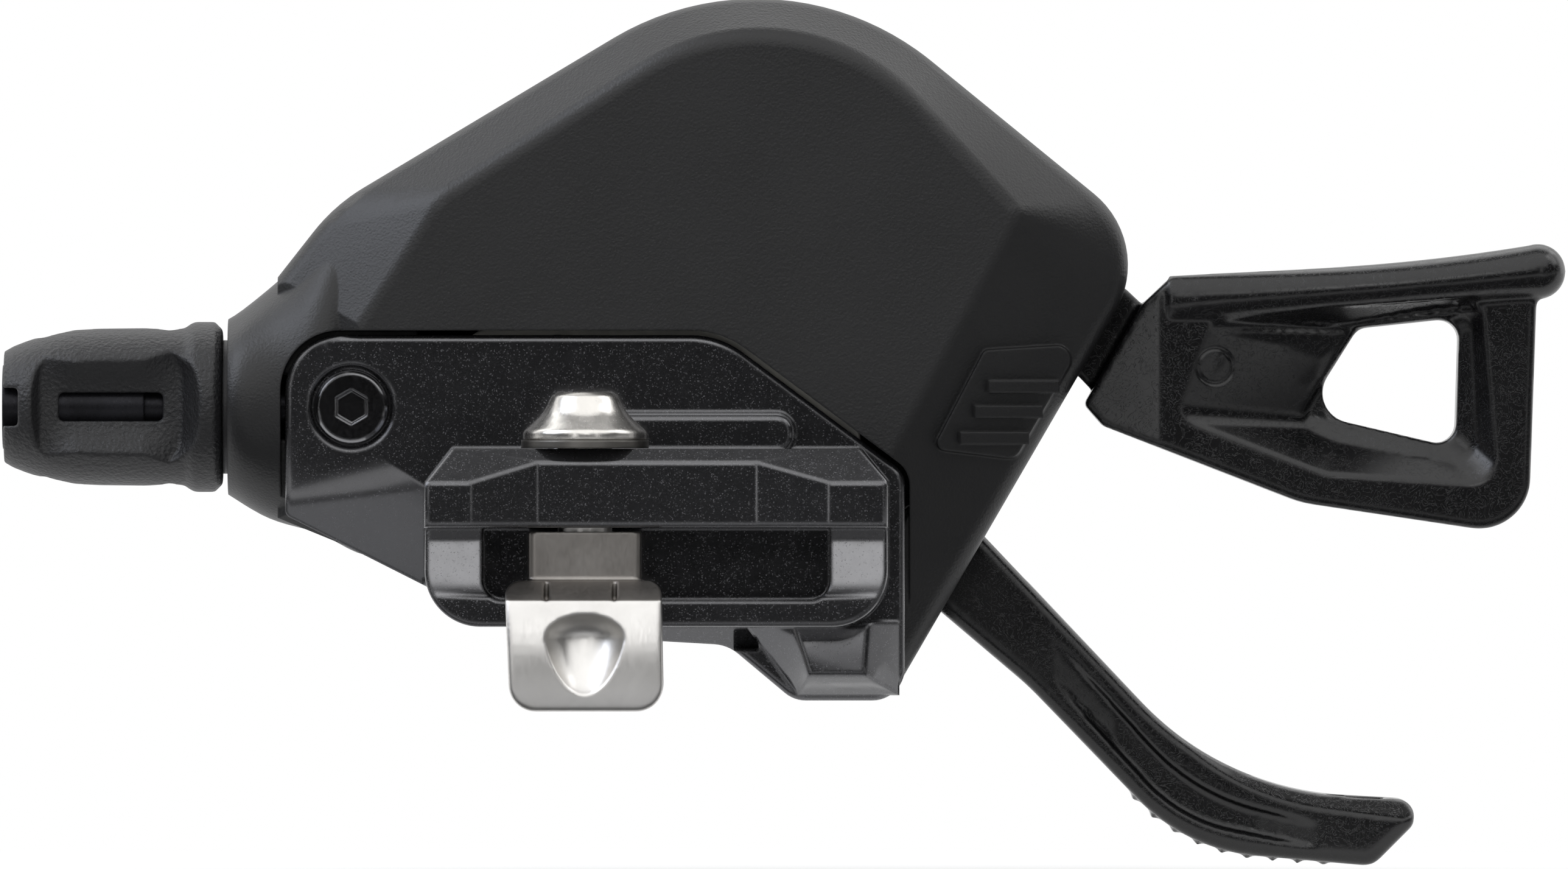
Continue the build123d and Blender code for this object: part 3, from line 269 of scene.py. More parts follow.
# worked metal: brush or tumble marks, faint stains and edges that turn the light softly;
# the marks are drawn coarser than real ones, so that they show
def workedMetal(name, look):
    finish, tree, shader = startFinish(name, {"Metallic": look["metallic"]})
    place = addNode(tree, "ShaderNodeTexCoord").outputs["Object"]
    stretched = addNode(tree, "ShaderNodeMapping", {"Scale": look["stretch"]}, {"Vector": place})
    marks = addNode(
        tree,
        "ShaderNodeTexNoise",
        {"Scale": 1 / look["mark"], "Detail": 3.0},
        {"Vector": stretched.outputs["Vector"]},
    )
    edge = addNode(tree, "ShaderNodeBevel", {"samples": 4, "Radius": look["softEdge"]})
    bump = addNode(
        tree,
        "ShaderNodeBump",
        {"Strength": look["bump"], "Distance": look["depth"]},
        {"Height": marks.outputs["Fac"], "Normal": edge.outputs["Normal"]},
    )
    dullness = addNode(
        tree,
        "ShaderNodeMapRange",
        {**noiseSpan, "To Min": look["roughLow"], "To Max": look["roughHigh"]},
        {"Value": marks.outputs["Fac"]},
    )
    clouds = addNode(
        tree,
        "ShaderNodeTexNoise",
        {"Scale": 1 / look["stain"], "Detail": 4.0, "Distortion": 0.8},
        {"Vector": place},
    )
    stains = addNode(
        tree,
        "ShaderNodeMapRange",
        {**patchSpan, "To Min": 0.0, "To Max": 1.0},
        {"Value": clouds.outputs["Fac"]},
    ).outputs["Result"]
    colour = addNode(
        tree,
        "ShaderNodeMix",
        {"data_type": "RGBA", mixFirst: hexToLinear(look["dark"]), mixSecond: hexToLinear(look["light"])},
        {mixFactor: stains},
    )
    # above a given height the colour turns to a darker pair: painted shade
    if "paintedShadeAbove" in look:
        paintedShadeMix = addNode(
            tree,
            "ShaderNodeMix",
            {
                "data_type": "RGBA",
                mixFirst: hexToLinear(look["paintedShadeDark"]),
                mixSecond: hexToLinear(look["paintedShadeLight"]),
            },
            {mixFactor: stains},
        )
        axes = addNode(tree, "ShaderNodeSeparateXYZ", links={"Vector": place})
        above = addNode(
            tree,
            "ShaderNodeMapRange",
            {
                "From Min": look["paintedShadeAbove"] - look["paintedShadeFade"],
                "From Max": look["paintedShadeAbove"],
                "To Min": 0.0,
                "To Max": 1.0,
            },
            {"Value": axes.outputs["Z"]},
        )
        colour = addNode(
            tree,
            "ShaderNodeMix",
            {"data_type": "RGBA"},
            {
                mixFactor: above.outputs["Result"],
                mixFirst: colour.outputs[mixResult],
                mixSecond: paintedShadeMix.outputs[mixResult],
            },
        )
    tree.links.new(colour.outputs[mixResult], shader.inputs["Base Color"])
    tree.links.new(dullness.outputs["Result"], shader.inputs["Roughness"])
    tree.links.new(bump.outputs["Normal"], shader.inputs["Normal"])
    return finish


# ABS with an even grain: matt black that lightens softly towards the lights
coverLook = {
    "pebble": 0.2 * millimetre,
    "grit": 0.11 * millimetre,
    "drift": 9 * millimetre,
    "softEdge": 0.25 * millimetre,
    "depth": 0.02 * millimetre,
    "bump": 0.8,
    "dark": "#0f0f10",
    "light": "#151516",
    "roughLow": 0.38,
    "roughHigh": 0.44,
    "specular": 0.46,
}
# ABS with a coarser, deeper grain for the fingers: a rougher, slightly greyer black
knobLook = dict(
    coverLook,
    pebble=0.3 * millimetre,
    grit=0.16 * millimetre,
    depth=0.07 * millimetre,
    dark="#121213",
    light="#18181a",
    roughLow=0.4,
    roughHigh=0.46,
)
# acetal inside the housing: dark grey and a little waxy
acetalLook = dict(coverLook, dark="#2e2e30", light="#353537", roughLow=0.4, roughHigh=0.48)
# glass-filled nylon of the levers: nearly black, with clear highlights along its edges
leverLook = {
    "swirl": 0.8 * millimetre,
    "fibreWidth": 0.02,
    "cloud": 6 * millimetre,
    "softEdge": 0.2 * millimetre,
    "depth": 0.006 * millimetre,
    "bump": 0.5,
    "dark": "#060607",
    "light": "#131314",
    "roughLow": 0.19,
    "roughHigh": 0.24,
    "fibreDull": 0.08,
    "specular": 0.5,
}
# powder coat of the bracket: dark where it mirrors the cards, pale where it mirrors the softboxes
bracketLook = {
    "flake": 0.08 * millimetre,
    "flakeless": 0.86,
    "flakeDull": 0.18,
    "film": 1.2 * millimetre,
    "softEdge": 0.35 * millimetre,
    "dark": "#565658",
    "flakeColour": "#6c6c6f",
    "roughLow": 0.13,
    "roughHigh": 0.16,
    "metallic": 0.9,
    "coat": 0.8,
    "coatRough": 0.08,
}
# nickel-plated steel, tumbled to a satin: bright, with a broad sheen
clampLook = {
    "stretch": (1, 1, 0.3),
    "mark": 0.2 * millimetre,
    "stain": 4 * millimetre,
    "softEdge": 0.25 * millimetre,
    "depth": 0.002 * millimetre,
    "bump": 0.2,
    "dark": "#d9d7d4",
    "light": "#e4e2df",
    "roughLow": 0.3,
    "roughHigh": 0.36,
    "metallic": 1.0,
}
# the jaw's stem, above its face, is painted a darker grey than the face: painted shade where the bracket's
# bar above it keeps the light off
jawLook = dict(
    clampLook,
    paintedShadeAbove=-11.1 * millimetre,
    paintedShadeFade=0.1 * millimetre,
    paintedShadeDark="#908c88",
    paintedShadeLight="#a19d99",
)
# nickel-plated steel, polished: narrow bright and dark bands round the cone
nutLook = dict(clampLook, dark="#d6d3ce", light="#e2dfda", roughLow=0.22, roughHigh=0.28, bump=0.05)
# the other metals have no brushing that runs one way
evenLook = dict(clampLook, stretch=(1, 1, 1))
# phosphated steel: an even mid grey
washerLook = dict(evenLook, dark="#6f6d69", light="#7d7b77", roughLow=0.34, roughHigh=0.42)
# black oxide on steel: nearly black, with a faint sheen of metal
oxideLook = dict(evenLook, dark="#1c1c1f", light="#26262a", roughLow=0.25, roughHigh=0.36, metallic=0.8)
# polished black steel: mirrors its surroundings darkly
screwLook = dict(evenLook, dark="#7c7c7e", light="#88888a", roughLow=0.1, roughHigh=0.14, bump=0.05)
# zinc-plated steel: pale and a little warm
plateLook = dict(evenLook, dark="#a3a29d", light="#b9b8b0", roughLow=0.3, roughHigh=0.42)
# drawn spring wire: mid grey with a bright line along it
wireLook = dict(evenLook, dark="#8b8b8d", light="#a2a2a4", roughLow=0.22, roughHigh=0.3)
# die-cast alloy: dull light grey
alloyLook = dict(evenLook, dark="#9c9c9c", light="#b0b0b0", roughLow=0.4, roughHigh=0.5)

finishes = {
    "cover_plastic": mouldedGrain("mouldedAbs", coverLook),
    "knob_plastic": mouldedGrain("grainedAbs", knobLook),
    "inner_plastic": mouldedGrain("acetal", acetalLook),
    "lever_plastic": glassNylon("glassFilledNylon", leverLook),
    "bracket_paint": flakePaint("flakePowderCoat", bracketLook),
    "clamp_metal": workedMetal("satinNickelSteel", clampLook),
    "dark_steel": workedMetal("blackOxideSteel", oxideLook),
    "plate_steel": workedMetal("zincPlatedSteel", plateLook),
    "spring_steel": workedMetal("drawnSpringWire", wireLook),
    "insert_alloy": workedMetal("dieCastAlloy", alloyLook),
}
# four pieces differ from the rest of their slot
ownFinish = {
    "cone_nut": workedMetal("polishedNickelSteel", nutLook),
    "clamp_washer": workedMetal("phosphatedSteel", washerLook),
    "bracket_screw": workedMetal("polishedBlackSteel", screwLook),
    "clamp_jaw": workedMetal("stampedNickelSteel", jawLook),
}


# gives a CAD node one finish in all its material slots
def dress(node, finish):
    mesh = cadNodes[node].data
    if not mesh.materials:
        mesh.materials.append(finish)
    for i in range(len(mesh.materials)):
        mesh.materials[i] = finish


for piece in frame["record"]["subparts"]:
    dress(piece["node"], ownFinish.get(piece["node"], finishes[piece["material_slot"]]))
print("finishes given:", len(finishes) + len(ownFinish))


# a welded copy of a CAD piece's mesh, in a new object
def weldedCopy(node):
    mesh = cadNodes[node].data.copy()
    weld = bmesh.new()
    weld.from_mesh(mesh)
    bmesh.ops.remove_doubles(weld, verts=weld.verts, dist=0.001 * millimetre)
    weld.to_mesh(mesh)
    weld.free()
    piece = bpy.data.objects.new(node + "_finished", mesh)
    bpy.context.scene.collection.objects.link(piece)
    return piece


# remeshes and smooths a piece for good
def remeshPiece(piece, voxel, passes):
    skin = piece.modifiers.new("skin", "REMESH")
    skin.mode = "VOXEL"
    skin.voxel_size = voxel * millimetre
    skin.use_smooth_shade = True
    ease = piece.modifiers.new("ease", "SMOOTH")
    ease.factor = 0.5
    ease.iterations = passes
    shaped = bpy.data.meshes.new_from_object(piece.evaluated_get(bpy.context.evaluated_depsgraph_get()))
    piece.modifiers.clear()
    piece.data = shaped


# the finished piece takes the CAD piece's finish, body and place
def takePlace(piece, node, body, slot):
    piece.data.materials.clear()
    piece.data.materials.append(ownFinish.get(node, finishes[slot]))
    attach(piece, body)
    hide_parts(node)
    piece.data.calc_loop_triangles()
    print(node, "finished:", len(piece.data.loop_triangles), "triangles")


# a piece whose edges run softly into each other: it may be shaped before, between or after its remeshes
def softenPiece(node, plan, before=None, between=None, after=None):
    piece = weldedCopy(node)
    if before:
        before(piece.data)
    if between:
        remeshPiece(piece, plan["voxel"], 0)
        between(piece.data)
    remeshPiece(piece, plan["voxel"], plan["passes"])
    if after:
        after(piece.data)
    takePlace(piece, node, plan["body"], plan["slot"])


# reads a list of places and sizes at any place between
def sizeAt(sizes, place):
    for (low, first), (high, second) in zip(sizes, sizes[1:]):
        if place <= high:
            return first + (second - first) * max(place - low, 0.0) / (high - low)
    return sizes[-1][1]


# the knob: three grips, each a trough that rises from its groove to the rim;
# in this plan and in those of the other pieces, lengths are in millimetres
knobPlan = {
    "body": "adjuster_body",
    "slot": "knob_plastic",
    "voxel": 0.12,
    "passes": 6,
    "left": -43.1,
    "axisY": 13.5,
    "axisZ": 3.1,
    "radii": [(0.0, 4.1), (1.6, 4.85), (3.4, 5.42), (5.2, 5.74), (7.1, 5.85), (11.1, 5.9), (16.2, 5.9)],
    "rimSlack": 0.06,
    "gripTurns": (0, 120, 240),
    "gripStart": -40.3,
    "gripEnd": -30.1,
    "gripFade": 2.6,
    "gripFloor": 3.8,
    "floorSlack": 0.15,
    "gripHalf": 4.4,
    "gripRise": 1.5,
    "gripBow": 1.3,
    "grooveHalf": 1.15,
}


def shapeKnob(mesh):
    plan = knobPlan
    gripLow = plan["gripFloor"] - plan["floorSlack"]
    for vertex in mesh.vertices:
        x, y, z = vertex.co / millimetre
        ends = min(x - plan["gripStart"], plan["gripEnd"] - x) / plan["gripFade"]
        radius = sizeAt(plan["radii"], x - plan["left"])
        spot = Vector((y - plan["axisY"], z - plan["axisZ"]))
        if ends <= 0 or spot.length > radius - plan["rimSlack"]:
            continue
        for turn in plan["gripTurns"]:
            out = Vector((-math.cos(math.radians(turn)), math.sin(math.radians(turn))))
            up = spot.dot(out)
            across = abs(spot.x * out.y - spot.y * out.x)
            if up < gripLow or not plan["grooveHalf"] < across < plan["gripHalf"]:
                continue
            share = (across - plan["grooveHalf"]) / (plan["gripHalf"] - plan["grooveHalf"])
            trough = plan["gripFloor"] + plan["gripRise"] * share ** plan["gripBow"] * min(ends, 1.0)
            lift = max(min(trough, math.sqrt(radius**2 - across**2)) - up, 0.0)
            vertex.co.y += out.x * lift * millimetre
            vertex.co.z += out.y * lift * millimetre


softenPiece("adjuster_knob", knobPlan, between=shapeKnob)

# the release lever: its funnel is shallower than the solid's, most of all at the right end, so that the
# walls face the viewer, and the ejector pin's mark is a ring
releasePlan = {
    "body": "release_lever_body",
    "slot": "lever_plastic",
    "voxel": 0.18,
    "passes": 6,
    "left": 44.0,
    "right": 67.4,
    "low": -2.5,
    "topX": 56.8,
    "topZ": 9.2,
    "topRise": 0.13,
    "rim": 11.6,
    "rimSlack": 0.1,
    "mid": 14.2,
    "end": 18.05,
    "endSlope": 0.12,
    "deepUntil": 54.0,
    "shallowFrom": 62.0,
    "shallowShare": 0.5,
    "markX": 46.6,
    "markZ": 6.1,
    "markRadius": 1.3,
    "markSlack": 0.04,
    "markFloor": 12.9,
    "floorSlack": 0.02,
    "markFront": 13.4,
    "patchMargin": 0.5,
    "patchCuts": 3,
    "grooveHalf": 0.2,
    "grooveDepth": 0.14,
}


def fromMark(vertex):
    x, _, z = vertex.co / millimetre
    return math.hypot(x - releasePlan["markX"], z - releasePlan["markZ"])


# fills the solid's round recess up to its rim and draws the funnel's walls forward
def shapeFunnel(mesh):
    plan = releasePlan
    reach = plan["markRadius"] + plan["markSlack"]
    rim = [v.co.copy() for v in mesh.vertices if fromMark(v) < reach]
    rim = [spot for spot in rim if spot.y < (plan["markFloor"] - plan["floorSlack"]) * millimetre]
    for vertex in mesh.vertices:
        x, y, z = vertex.co / millimetre
        if fromMark(vertex) < reach and abs(y - plan["markFloor"]) < plan["floorSlack"]:
            nearest = min(rim, key=lambda spot: math.hypot(spot.x - vertex.co.x, spot.z - vertex.co.z))
            vertex.co.y = nearest.y
            continue
        top = plan["topZ"] + plan["topRise"] * (x - plan["topX"])
        inside = plan["left"] < x < plan["right"] and plan["low"] < z < top
        if inside and plan["rim"] + plan["rimSlack"] < y < plan["end"]:
            along = (x - plan["deepUntil"]) / (plan["shallowFrom"] - plan["deepUntil"])
            keep = 1 - (1 - plan["shallowShare"]) * min(max(along, 0.0), 1.0)
            wall = min(y, plan["mid"]) - plan["rim"]
            past = max(y - plan["mid"], 0.0)
            vertex.co.y = (plan["rim"] + keep * wall + plan["endSlope"] * past) * millimetre


# cuts the mark's ring into a finer patch of the mesh
def cutMark(mesh):
    plan = releasePlan
    front = plan["markFront"] * millimetre
    reach = plan["markRadius"] + plan["patchMargin"]
    patch = bmesh.new()
    patch.from_mesh(mesh)
    near = [e for e in patch.edges if all(fromMark(v) < reach and v.co.y < front for v in e.verts)]
    bmesh.ops.subdivide_edges(patch, edges=near, cuts=plan["patchCuts"], use_grid_fill=True)
    for vertex in patch.verts:
        off = abs(fromMark(vertex) - plan["markRadius"])
        if off < plan["grooveHalf"] and vertex.co.y < front:
            vertex.co.y += plan["grooveDepth"] * (1 - off / plan["grooveHalf"]) * millimetre
    patch.to_mesh(mesh)
    patch.free()


softenPiece("release_lever", releasePlan, before=shapeFunnel, after=cutMark)

# the main lever keeps the solid's form
mainLeverPlan = {
    "body": "main_lever_body",
    "slot": "lever_plastic",
    "voxel": 0.2,
    "passes": 6,
}
softenPiece("main_lever", mainLeverPlan)

# the jaw: a bowed face with a thumbnail-shaped scoop in it, round at the top and blunt at the tip;
# the face is given by the height and depth of three points
jawPlan = {
    "body": "clamp_body",
    "slot": "clamp_metal",
    "voxel": 0.1,
    "passes": 3,
    "face": [(-11.2, -5.75), (-16.25, -6.5), (-19.3, -6.2)],
    "faceHalf": 3.6,
    "faceTop": -11.7,
    "faceLow": -18.8,
    "faceBack": -4.1,
    "scoopTop": -12.1,
    "scoopWidest": -13.9,
    "scoopTip": -18.1,
    "scoopHalf": 2.92,
    "scoopAxis": -7.6,
    "tipFullness": 1.4,
}


# depth of the face at a height, from the curve through its three points
def jawFaceDepth(z):
    depth = 0.0
    for height, y in jawPlan["face"]:
        share = y
        for other, _ in jawPlan["face"]:
            if other != height:
                share *= (z - other) / (height - other)
        depth += share
    return depth


def scoopHalfWidth(z):
    plan = jawPlan
    if z >= plan["scoopTop"] or z <= plan["scoopTip"]:
        return 0.0
    if z > plan["scoopWidest"]:
        rise = (z - plan["scoopWidest"]) / (plan["scoopTop"] - plan["scoopWidest"])
        return plan["scoopHalf"] * math.sqrt(1 - rise**2)
    fall = (plan["scoopWidest"] - z) / (plan["scoopWidest"] - plan["scoopTip"])
    return plan["scoopHalf"] * math.sqrt(1 - fall ** plan["tipFullness"])


def shapeJaw(mesh):
    plan = jawPlan
    for vertex in mesh.vertices:
        x, y, z = vertex.co / millimetre
        if abs(x) > plan["faceHalf"] or z > plan["faceTop"] or z < plan["faceLow"] or y > plan["faceBack"]:
            continue
        y = jawFaceDepth(z)
        width = scoopHalfWidth(z)
        if abs(x) < width:
            radius = math.hypot(width, y - plan["scoopAxis"])
            y = max(y, plan["scoopAxis"] + math.sqrt(radius**2 - x**2))
        vertex.co.y = y * millimetre


softenPiece("clamp_jaw", jawPlan, between=shapeJaw)

# the cone nut: radius of its evenly flared skirt at five heights
nutPlan = {
    "body": "clamp_body",
    "slot": "clamp_metal",
    "voxel": 0.07,
    "passes": 8,
    "boreLimit": 2.2,
    "skirt": [(1.36, 4.46), (1.95, 3.8), (2.6, 3.15), (3.2, 2.78), (4.05, 2.4)],
}


def shapeNut(mesh):
    skirt = nutPlan["skirt"]
    for vertex in mesh.vertices:
        x, y, z = vertex.co / millimetre
        reach = math.hypot(x, y)
        if reach > nutPlan["boreLimit"] and skirt[0][0] < z < skirt[-1][0]:
            widen = sizeAt(skirt, z) / reach
            vertex.co.x *= widen
            vertex.co.y *= widen


softenPiece("cone_nut", nutPlan, before=shapeNut)

# the bracket: its loop's legs run flatter up to the bar, so that they catch the light;
# the foot's roof leans forward as it goes down
bracketPlan = {
    "body": "housing",
    "slot": "bracket_paint",
    "loopTop": -5.8,
    "loopBottom": -13.1,
    "loopFront": -1.5,
    "loopShoulder": 1.3,
    "loopLean": 0.12,
    "bendStart": -12.6,
    "bendEnd": -9.6,
    "skin": 0.32,
    "slack": 0.01,
    "legLeft": -7.3,
    "legRight": 17.8,
    "legLow": -10.9,
    "footTop": -12.8,
    "footBottom": -17.4,
    "footLeft": 11.0,
    "footRight": 24.0,
    "footFront": 2.3,
    "footBase": 6.9,
    "footHeight": 2.7,
    "footLean": 0.1,
    "sharpAngle": 28,
}


# depth of the loop's face in the solid: an arc
def loopDepth(z):
    plan = bracketPlan
    reach = plan["loopTop"] - plan["loopBottom"]
    rise = plan["loopShoulder"] - plan["loopFront"]
    radius = (reach**2 + rise**2) / (2 * rise)
    return plan["loopFront"] + radius - math.sqrt(radius**2 - (z - plan["loopBottom"]) ** 2)


# depth of the finished face: a short bend, then straight
def flatterLoopDepth(z):
    plan = bracketPlan
    bend = plan["bendEnd"] - plan["bendStart"]
    along = min(max(z - plan["bendStart"], 0.0), bend)
    straight = max(z - plan["bendEnd"], 0.0)
    return plan["loopFront"] + plan["loopLean"] * (along**2 / (2 * bend) + straight)


def shapeBracket(mesh):
    plan = bracketPlan
    for vertex in mesh.vertices:
        x, y, z = vertex.co / millimetre
        inFoot = plan["footBottom"] < z < plan["footTop"] and plan["footLeft"] < x < plan["footRight"]
        if inFoot and y > plan["footFront"]:
            raised = min(max((plan["footBase"] - y) / plan["footHeight"], 0.0), 1.0)
            vertex.co.y -= plan["footLean"] * (plan["footTop"] - z) * raised * millimetre
        inLeg = x < plan["legLeft"] or x > plan["legRight"] or z < plan["legLow"]
        inLoop = plan["loopBottom"] - plan["slack"] <= z <= plan["loopTop"] + plan["slack"]
        if inLeg and inLoop and abs(y - loopDepth(z)) < plan["skin"]:
            vertex.co.y += (flatterLoopDepth(z) - loopDepth(z)) * millimetre


# the bracket keeps its crisp edges, so it is not remeshed
def finishBracket(plan):
    piece = weldedCopy("bracket")
    mesh = piece.data
    shapeBracket(mesh)
    if "custom_normal" in mesh.attributes:
        mesh.attributes.remove(mesh.attributes["custom_normal"])
    mesh.shade_smooth()
    mesh.set_sharp_from_angle(angle=math.radians(plan["sharpAngle"]))
    normals = piece.modifiers.new("normals", "WEIGHTED_NORMAL")
    normals.keep_sharp = True
    takePlace(piece, "bracket", plan["body"], plan["slot"])


finishBracket(bracketPlan)

white = hexToLinear("#ffffff")

# paper floor under the lowest point: matt and white to the eye, it keeps the part's shadow close around it
floorPlan = {
    "size": 40.0,
    "drop": 0.4 * millimetre,
    "colour": "#e6e6e6",
    "fleckColour": "#ececec",
    "flecksPerMetre": 60.0,
    "roughness": 0.9,
    "shadowShare": 0.35,
    "shadowNear": 70 * millimetre,
    "shadowFar": 150 * millimetre,
}


def makeFloor(plan):
    bpy.ops.mesh.primitive_plane_add(size=plan["size"], location=(0, 0, cadBox[0].z - plan["drop"]))
    floor = bpy.context.object
    floor.name = "floor"
    settings = {"Roughness": plan["roughness"], "Specular IOR Level": 0.0}
    finish, tree, shader = startFinish("paperFloor", settings)
    place = addNode(tree, "ShaderNodeTexCoord").outputs["Object"]
    flecks = addNode(
        tree,
        "ShaderNodeTexNoise",
        {"Scale": plan["flecksPerMetre"], "Detail": 2.0},
        {"Vector": place},
    )
    colour = addNode(
        tree,
        "ShaderNodeMix",
        {
            "data_type": "RGBA",
            mixFirst: hexToLinear(plan["colour"]),
            mixSecond: hexToLinear(plan["fleckColour"]),
        },
        {mixFactor: flecks.outputs["Fac"]},
    )
    tree.links.new(colour.outputs[mixResult], shader.inputs["Base Color"])
    glow = addNode(tree, "ShaderNodeEmission", {"Color": white, "Strength": 1.0})
    away = addNode(tree, "ShaderNodeVectorMath", {"operation": "LENGTH"}, {0: place})
    unshaded = addNode(
        tree,
        "ShaderNodeMapRange",
        {
            "From Min": plan["shadowNear"],
            "From Max": plan["shadowFar"],
            "To Min": 1 - plan["shadowShare"],
            "To Max": 1.0,
        },
        {"Value": away.outputs["Value"]},
    )
    path = addNode(tree, "ShaderNodeLightPath")
    mirrored = addNode(
        tree,
        "ShaderNodeMath",
        {"operation": "MAXIMUM"},
        {0: path.outputs["Is Glossy Ray"], 1: path.outputs["Is Transmission Ray"]},
    )
    seen = addNode(
        tree,
        "ShaderNodeMath",
        {"operation": "MAXIMUM"},
        {0: path.outputs["Is Camera Ray"], 1: mirrored.outputs["Value"]},
    )
    glowShare = addNode(
        tree,
        "ShaderNodeMath",
        {"operation": "MULTIPLY"},
        {0: seen.outputs["Value"], 1: unshaded.outputs["Result"]},
    )
    surface = addNode(
        tree,
        "ShaderNodeMixShader",
        links={0: glowShare.outputs["Value"], 1: shader.outputs["BSDF"], 2: glow.outputs["Emission"]},
    )
    output = next(n for n in tree.nodes if n.type == "OUTPUT_MATERIAL")
    tree.links.new(surface.outputs["Shader"], output.inputs["Surface"])
    floor.data.materials.append(finish)


makeFloor(floorPlan)
print("floor laid")

# white studio behind the part, dim on the side that it is seen from
studio = {"white": 1.0, "front": 0.03, "ambient": 0.42, "frontEnd": -0.05, "whiteStart": 0.45}


def makeWorld(plan):
    world = bpy.data.worlds.new("studio")
    bpy.context.scene.world = world
    world.use_nodes = True
    tree = world.node_tree
    tree.nodes.clear()
    way = addNode(tree, "ShaderNodeTexCoord").outputs["Generated"]
    axes = addNode(tree, "ShaderNodeSeparateXYZ", links={"Vector": way})
    behind = addNode(
        tree,
        "ShaderNodeMapRange",
        {
            "From Min": plan["frontEnd"],
            "From Max": plan["whiteStart"],
            "To Min": plan["front"],
            "To Max": plan["white"],
        },
        {"Value": axes.outputs["Y"]},
    )
    path = addNode(tree, "ShaderNodeLightPath")
    mirrored = addNode(
        tree,
        "ShaderNodeMath",
        {"operation": "MAXIMUM"},
        {0: path.outputs["Is Glossy Ray"], 1: path.outputs["Is Transmission Ray"]},
    )
    lit = addNode(
        tree,
        "ShaderNodeMix",
        {"A": plan["ambient"]},
        {"Factor": mirrored.outputs["Value"], "B": behind.outputs["Result"]},
    )
    shown = addNode(
        tree,
        "ShaderNodeMix",
        {"B": plan["white"]},
        {"Factor": path.outputs["Is Camera Ray"], "A": lit.outputs["Result"]},
    )
    background = addNode(
        tree,
        "ShaderNodeBackground",
        {"Color": white},
        {"Strength": shown.outputs["Result"]},
    )
    addNode(tree, "ShaderNodeOutputWorld", links={"Surface": background.outputs["Background"]})


makeWorld(studio)

# the middle of the picture; the softboxes stand around it, in metres, and face it
middle = Vector((14.67, 8.0, 1.06)) * millimetre
softboxes = {
    "scrim": {"at": (0.0, -0.47, 0.65), "size": (1.5, 1.0), "power": 6.2, "tint": "#ffffff"},
    "core": {"at": (0.0, -0.72, 0.2), "size": (0.16, 0.14), "power": 0.22, "tint": "#ffffff"},
    "leftTop": {"at": (-0.58, -0.2, 0.48), "size": (0.4, 0.55), "power": 3.1, "tint": "#eff4ff"},
    "rightTop": {"at": (0.6, -0.05, 0.5), "size": (0.35, 0.5), "power": 1.2, "tint": "#ffffff"},
    "leftStrip": {"at": (-0.24, -0.66, 0.05), "size": (0.05, 0.4), "power": 0.22, "tint": "#ffffff"},
    "rightStrip": {"at": (0.26, -0.65, 0.05), "size": (0.05, 0.4), "power": 0.12, "tint": "#ffffff"},
    "rearTop": {"at": (0.0, 0.35, 0.55), "size": (1.1, 0.35), "power": 1.5, "tint": "#ffffff"},
    "rearLeft": {"at": (-0.5, 0.3, 0.25), "size": (0.3, 0.6), "power": 0.4, "tint": "#ffffff"},
    "rearRight": {"at": (0.5, 0.3, 0.25), "size": (0.3, 0.6), "power": 0.4, "tint": "#ffffff"},
}


def makeSoftbox(name, plan):
    lamp = bpy.data.lights.new(name, "AREA")
    lamp.shape = "RECTANGLE"
    lamp.size, lamp.size_y = plan["size"]
    lamp.energy = plan["power"]
    lamp.color = hexToLinear(plan["tint"])[:3]
    box = bpy.data.objects.new(name, lamp)
    bpy.context.scene.collection.objects.link(box)
    box.location = middle + Vector(plan["at"])
    box.rotation_euler = (-Vector(plan["at"])).to_track_quat("-Z", "Y").to_euler()
    box.visible_camera = False


for name, plan in softboxes.items():
    makeSoftbox(name, plan)
print("studio lit:", len(softboxes), "softboxes")

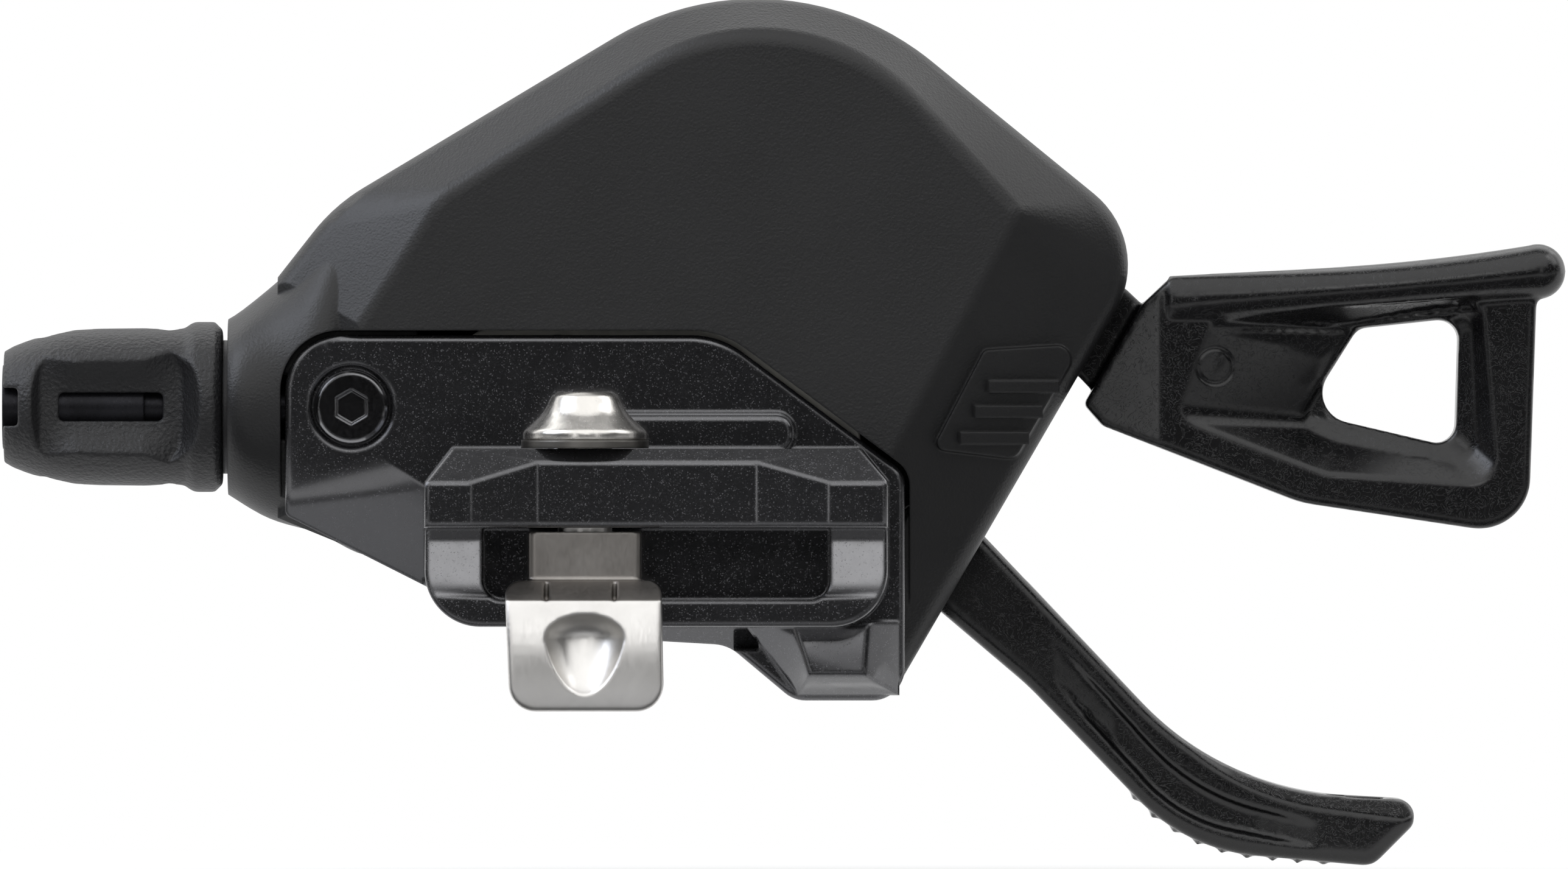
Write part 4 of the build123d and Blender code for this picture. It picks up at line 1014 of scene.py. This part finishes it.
# felt cards, seen in nothing but reflections, keep the gloss dark where it faces the viewer; in metres
floorTop = cadBox[0].z - floorPlan["drop"]
cardTop = floorTop + 0.1 * millimetre
jawCardTop = cardTop + 0.1 * millimetre
flags = {
    "standing": {"low": (-1.2, -0.7, floorTop), "high": (1.2, -0.7, 0.09), "colour": "#161616"},
    "far": {"low": (-1.2, -0.7, cardTop), "high": (1.2, -0.22, cardTop), "colour": "#161616"},
    "near": {"low": (-1.2, -0.11, cardTop), "high": (1.2, -0.004, cardTop), "colour": "#4a4a4a"},
    "jaw": {"low": (-0.03, -0.08, jawCardTop), "high": (0.03, -0.035, jawCardTop), "colour": "#b0b0b0"},
}


def makeFlag(name, plan):
    low, high = Vector(plan["low"]), Vector(plan["high"])
    sheet = bmesh.new()
    corners = [low, Vector((high.x, low.y, low.z)), high, Vector((low.x, high.y, high.z))]
    sheet.faces.new([sheet.verts.new(corner) for corner in corners])
    mesh = bpy.data.meshes.new(name + "Flag")
    sheet.to_mesh(mesh)
    sheet.free()
    flag = bpy.data.objects.new(name + "Flag", mesh)
    bpy.context.scene.collection.objects.link(flag)
    settings = {"Base Color": hexToLinear(plan["colour"]), "Roughness": 1.0, "Specular IOR Level": 0.0}
    felt = startFinish(name + "Felt", settings)[0]
    mesh.materials.append(felt)
    flag.visible_camera = False
    flag.visible_shadow = False
    flag.visible_diffuse = False


for name, plan in flags.items():
    makeFlag(name, plan)
print("cards set:", len(flags))

# long lens straight on to the bracket, as in the photograph; distances in metres, the sensor in millimetres
cameraPlan = {
    "distance": 2.4,
    "frameWidth": 115.92 * millimetre,
    "sensor": 36.0,
    "clipStart": 0.1,
    "clipEnd": 100.0,
}


def makeCamera(plan):
    view = bpy.data.cameras.new("camera")
    view.sensor_fit = "HORIZONTAL"
    view.sensor_width = plan["sensor"]
    view.lens = plan["sensor"] * plan["distance"] / plan["frameWidth"]
    view.clip_start = plan["clipStart"]
    view.clip_end = plan["clipEnd"]
    camera = bpy.data.objects.new("camera", view)
    bpy.context.scene.collection.objects.link(camera)
    camera.location = middle + Vector((0, -plan["distance"], 0))
    camera.rotation_euler = (math.radians(90), 0, 0)
    bpy.context.scene.camera = camera


makeCamera(cameraPlan)
bpy.context.scene.view_settings.view_transform = "Standard"

print("scene ready")
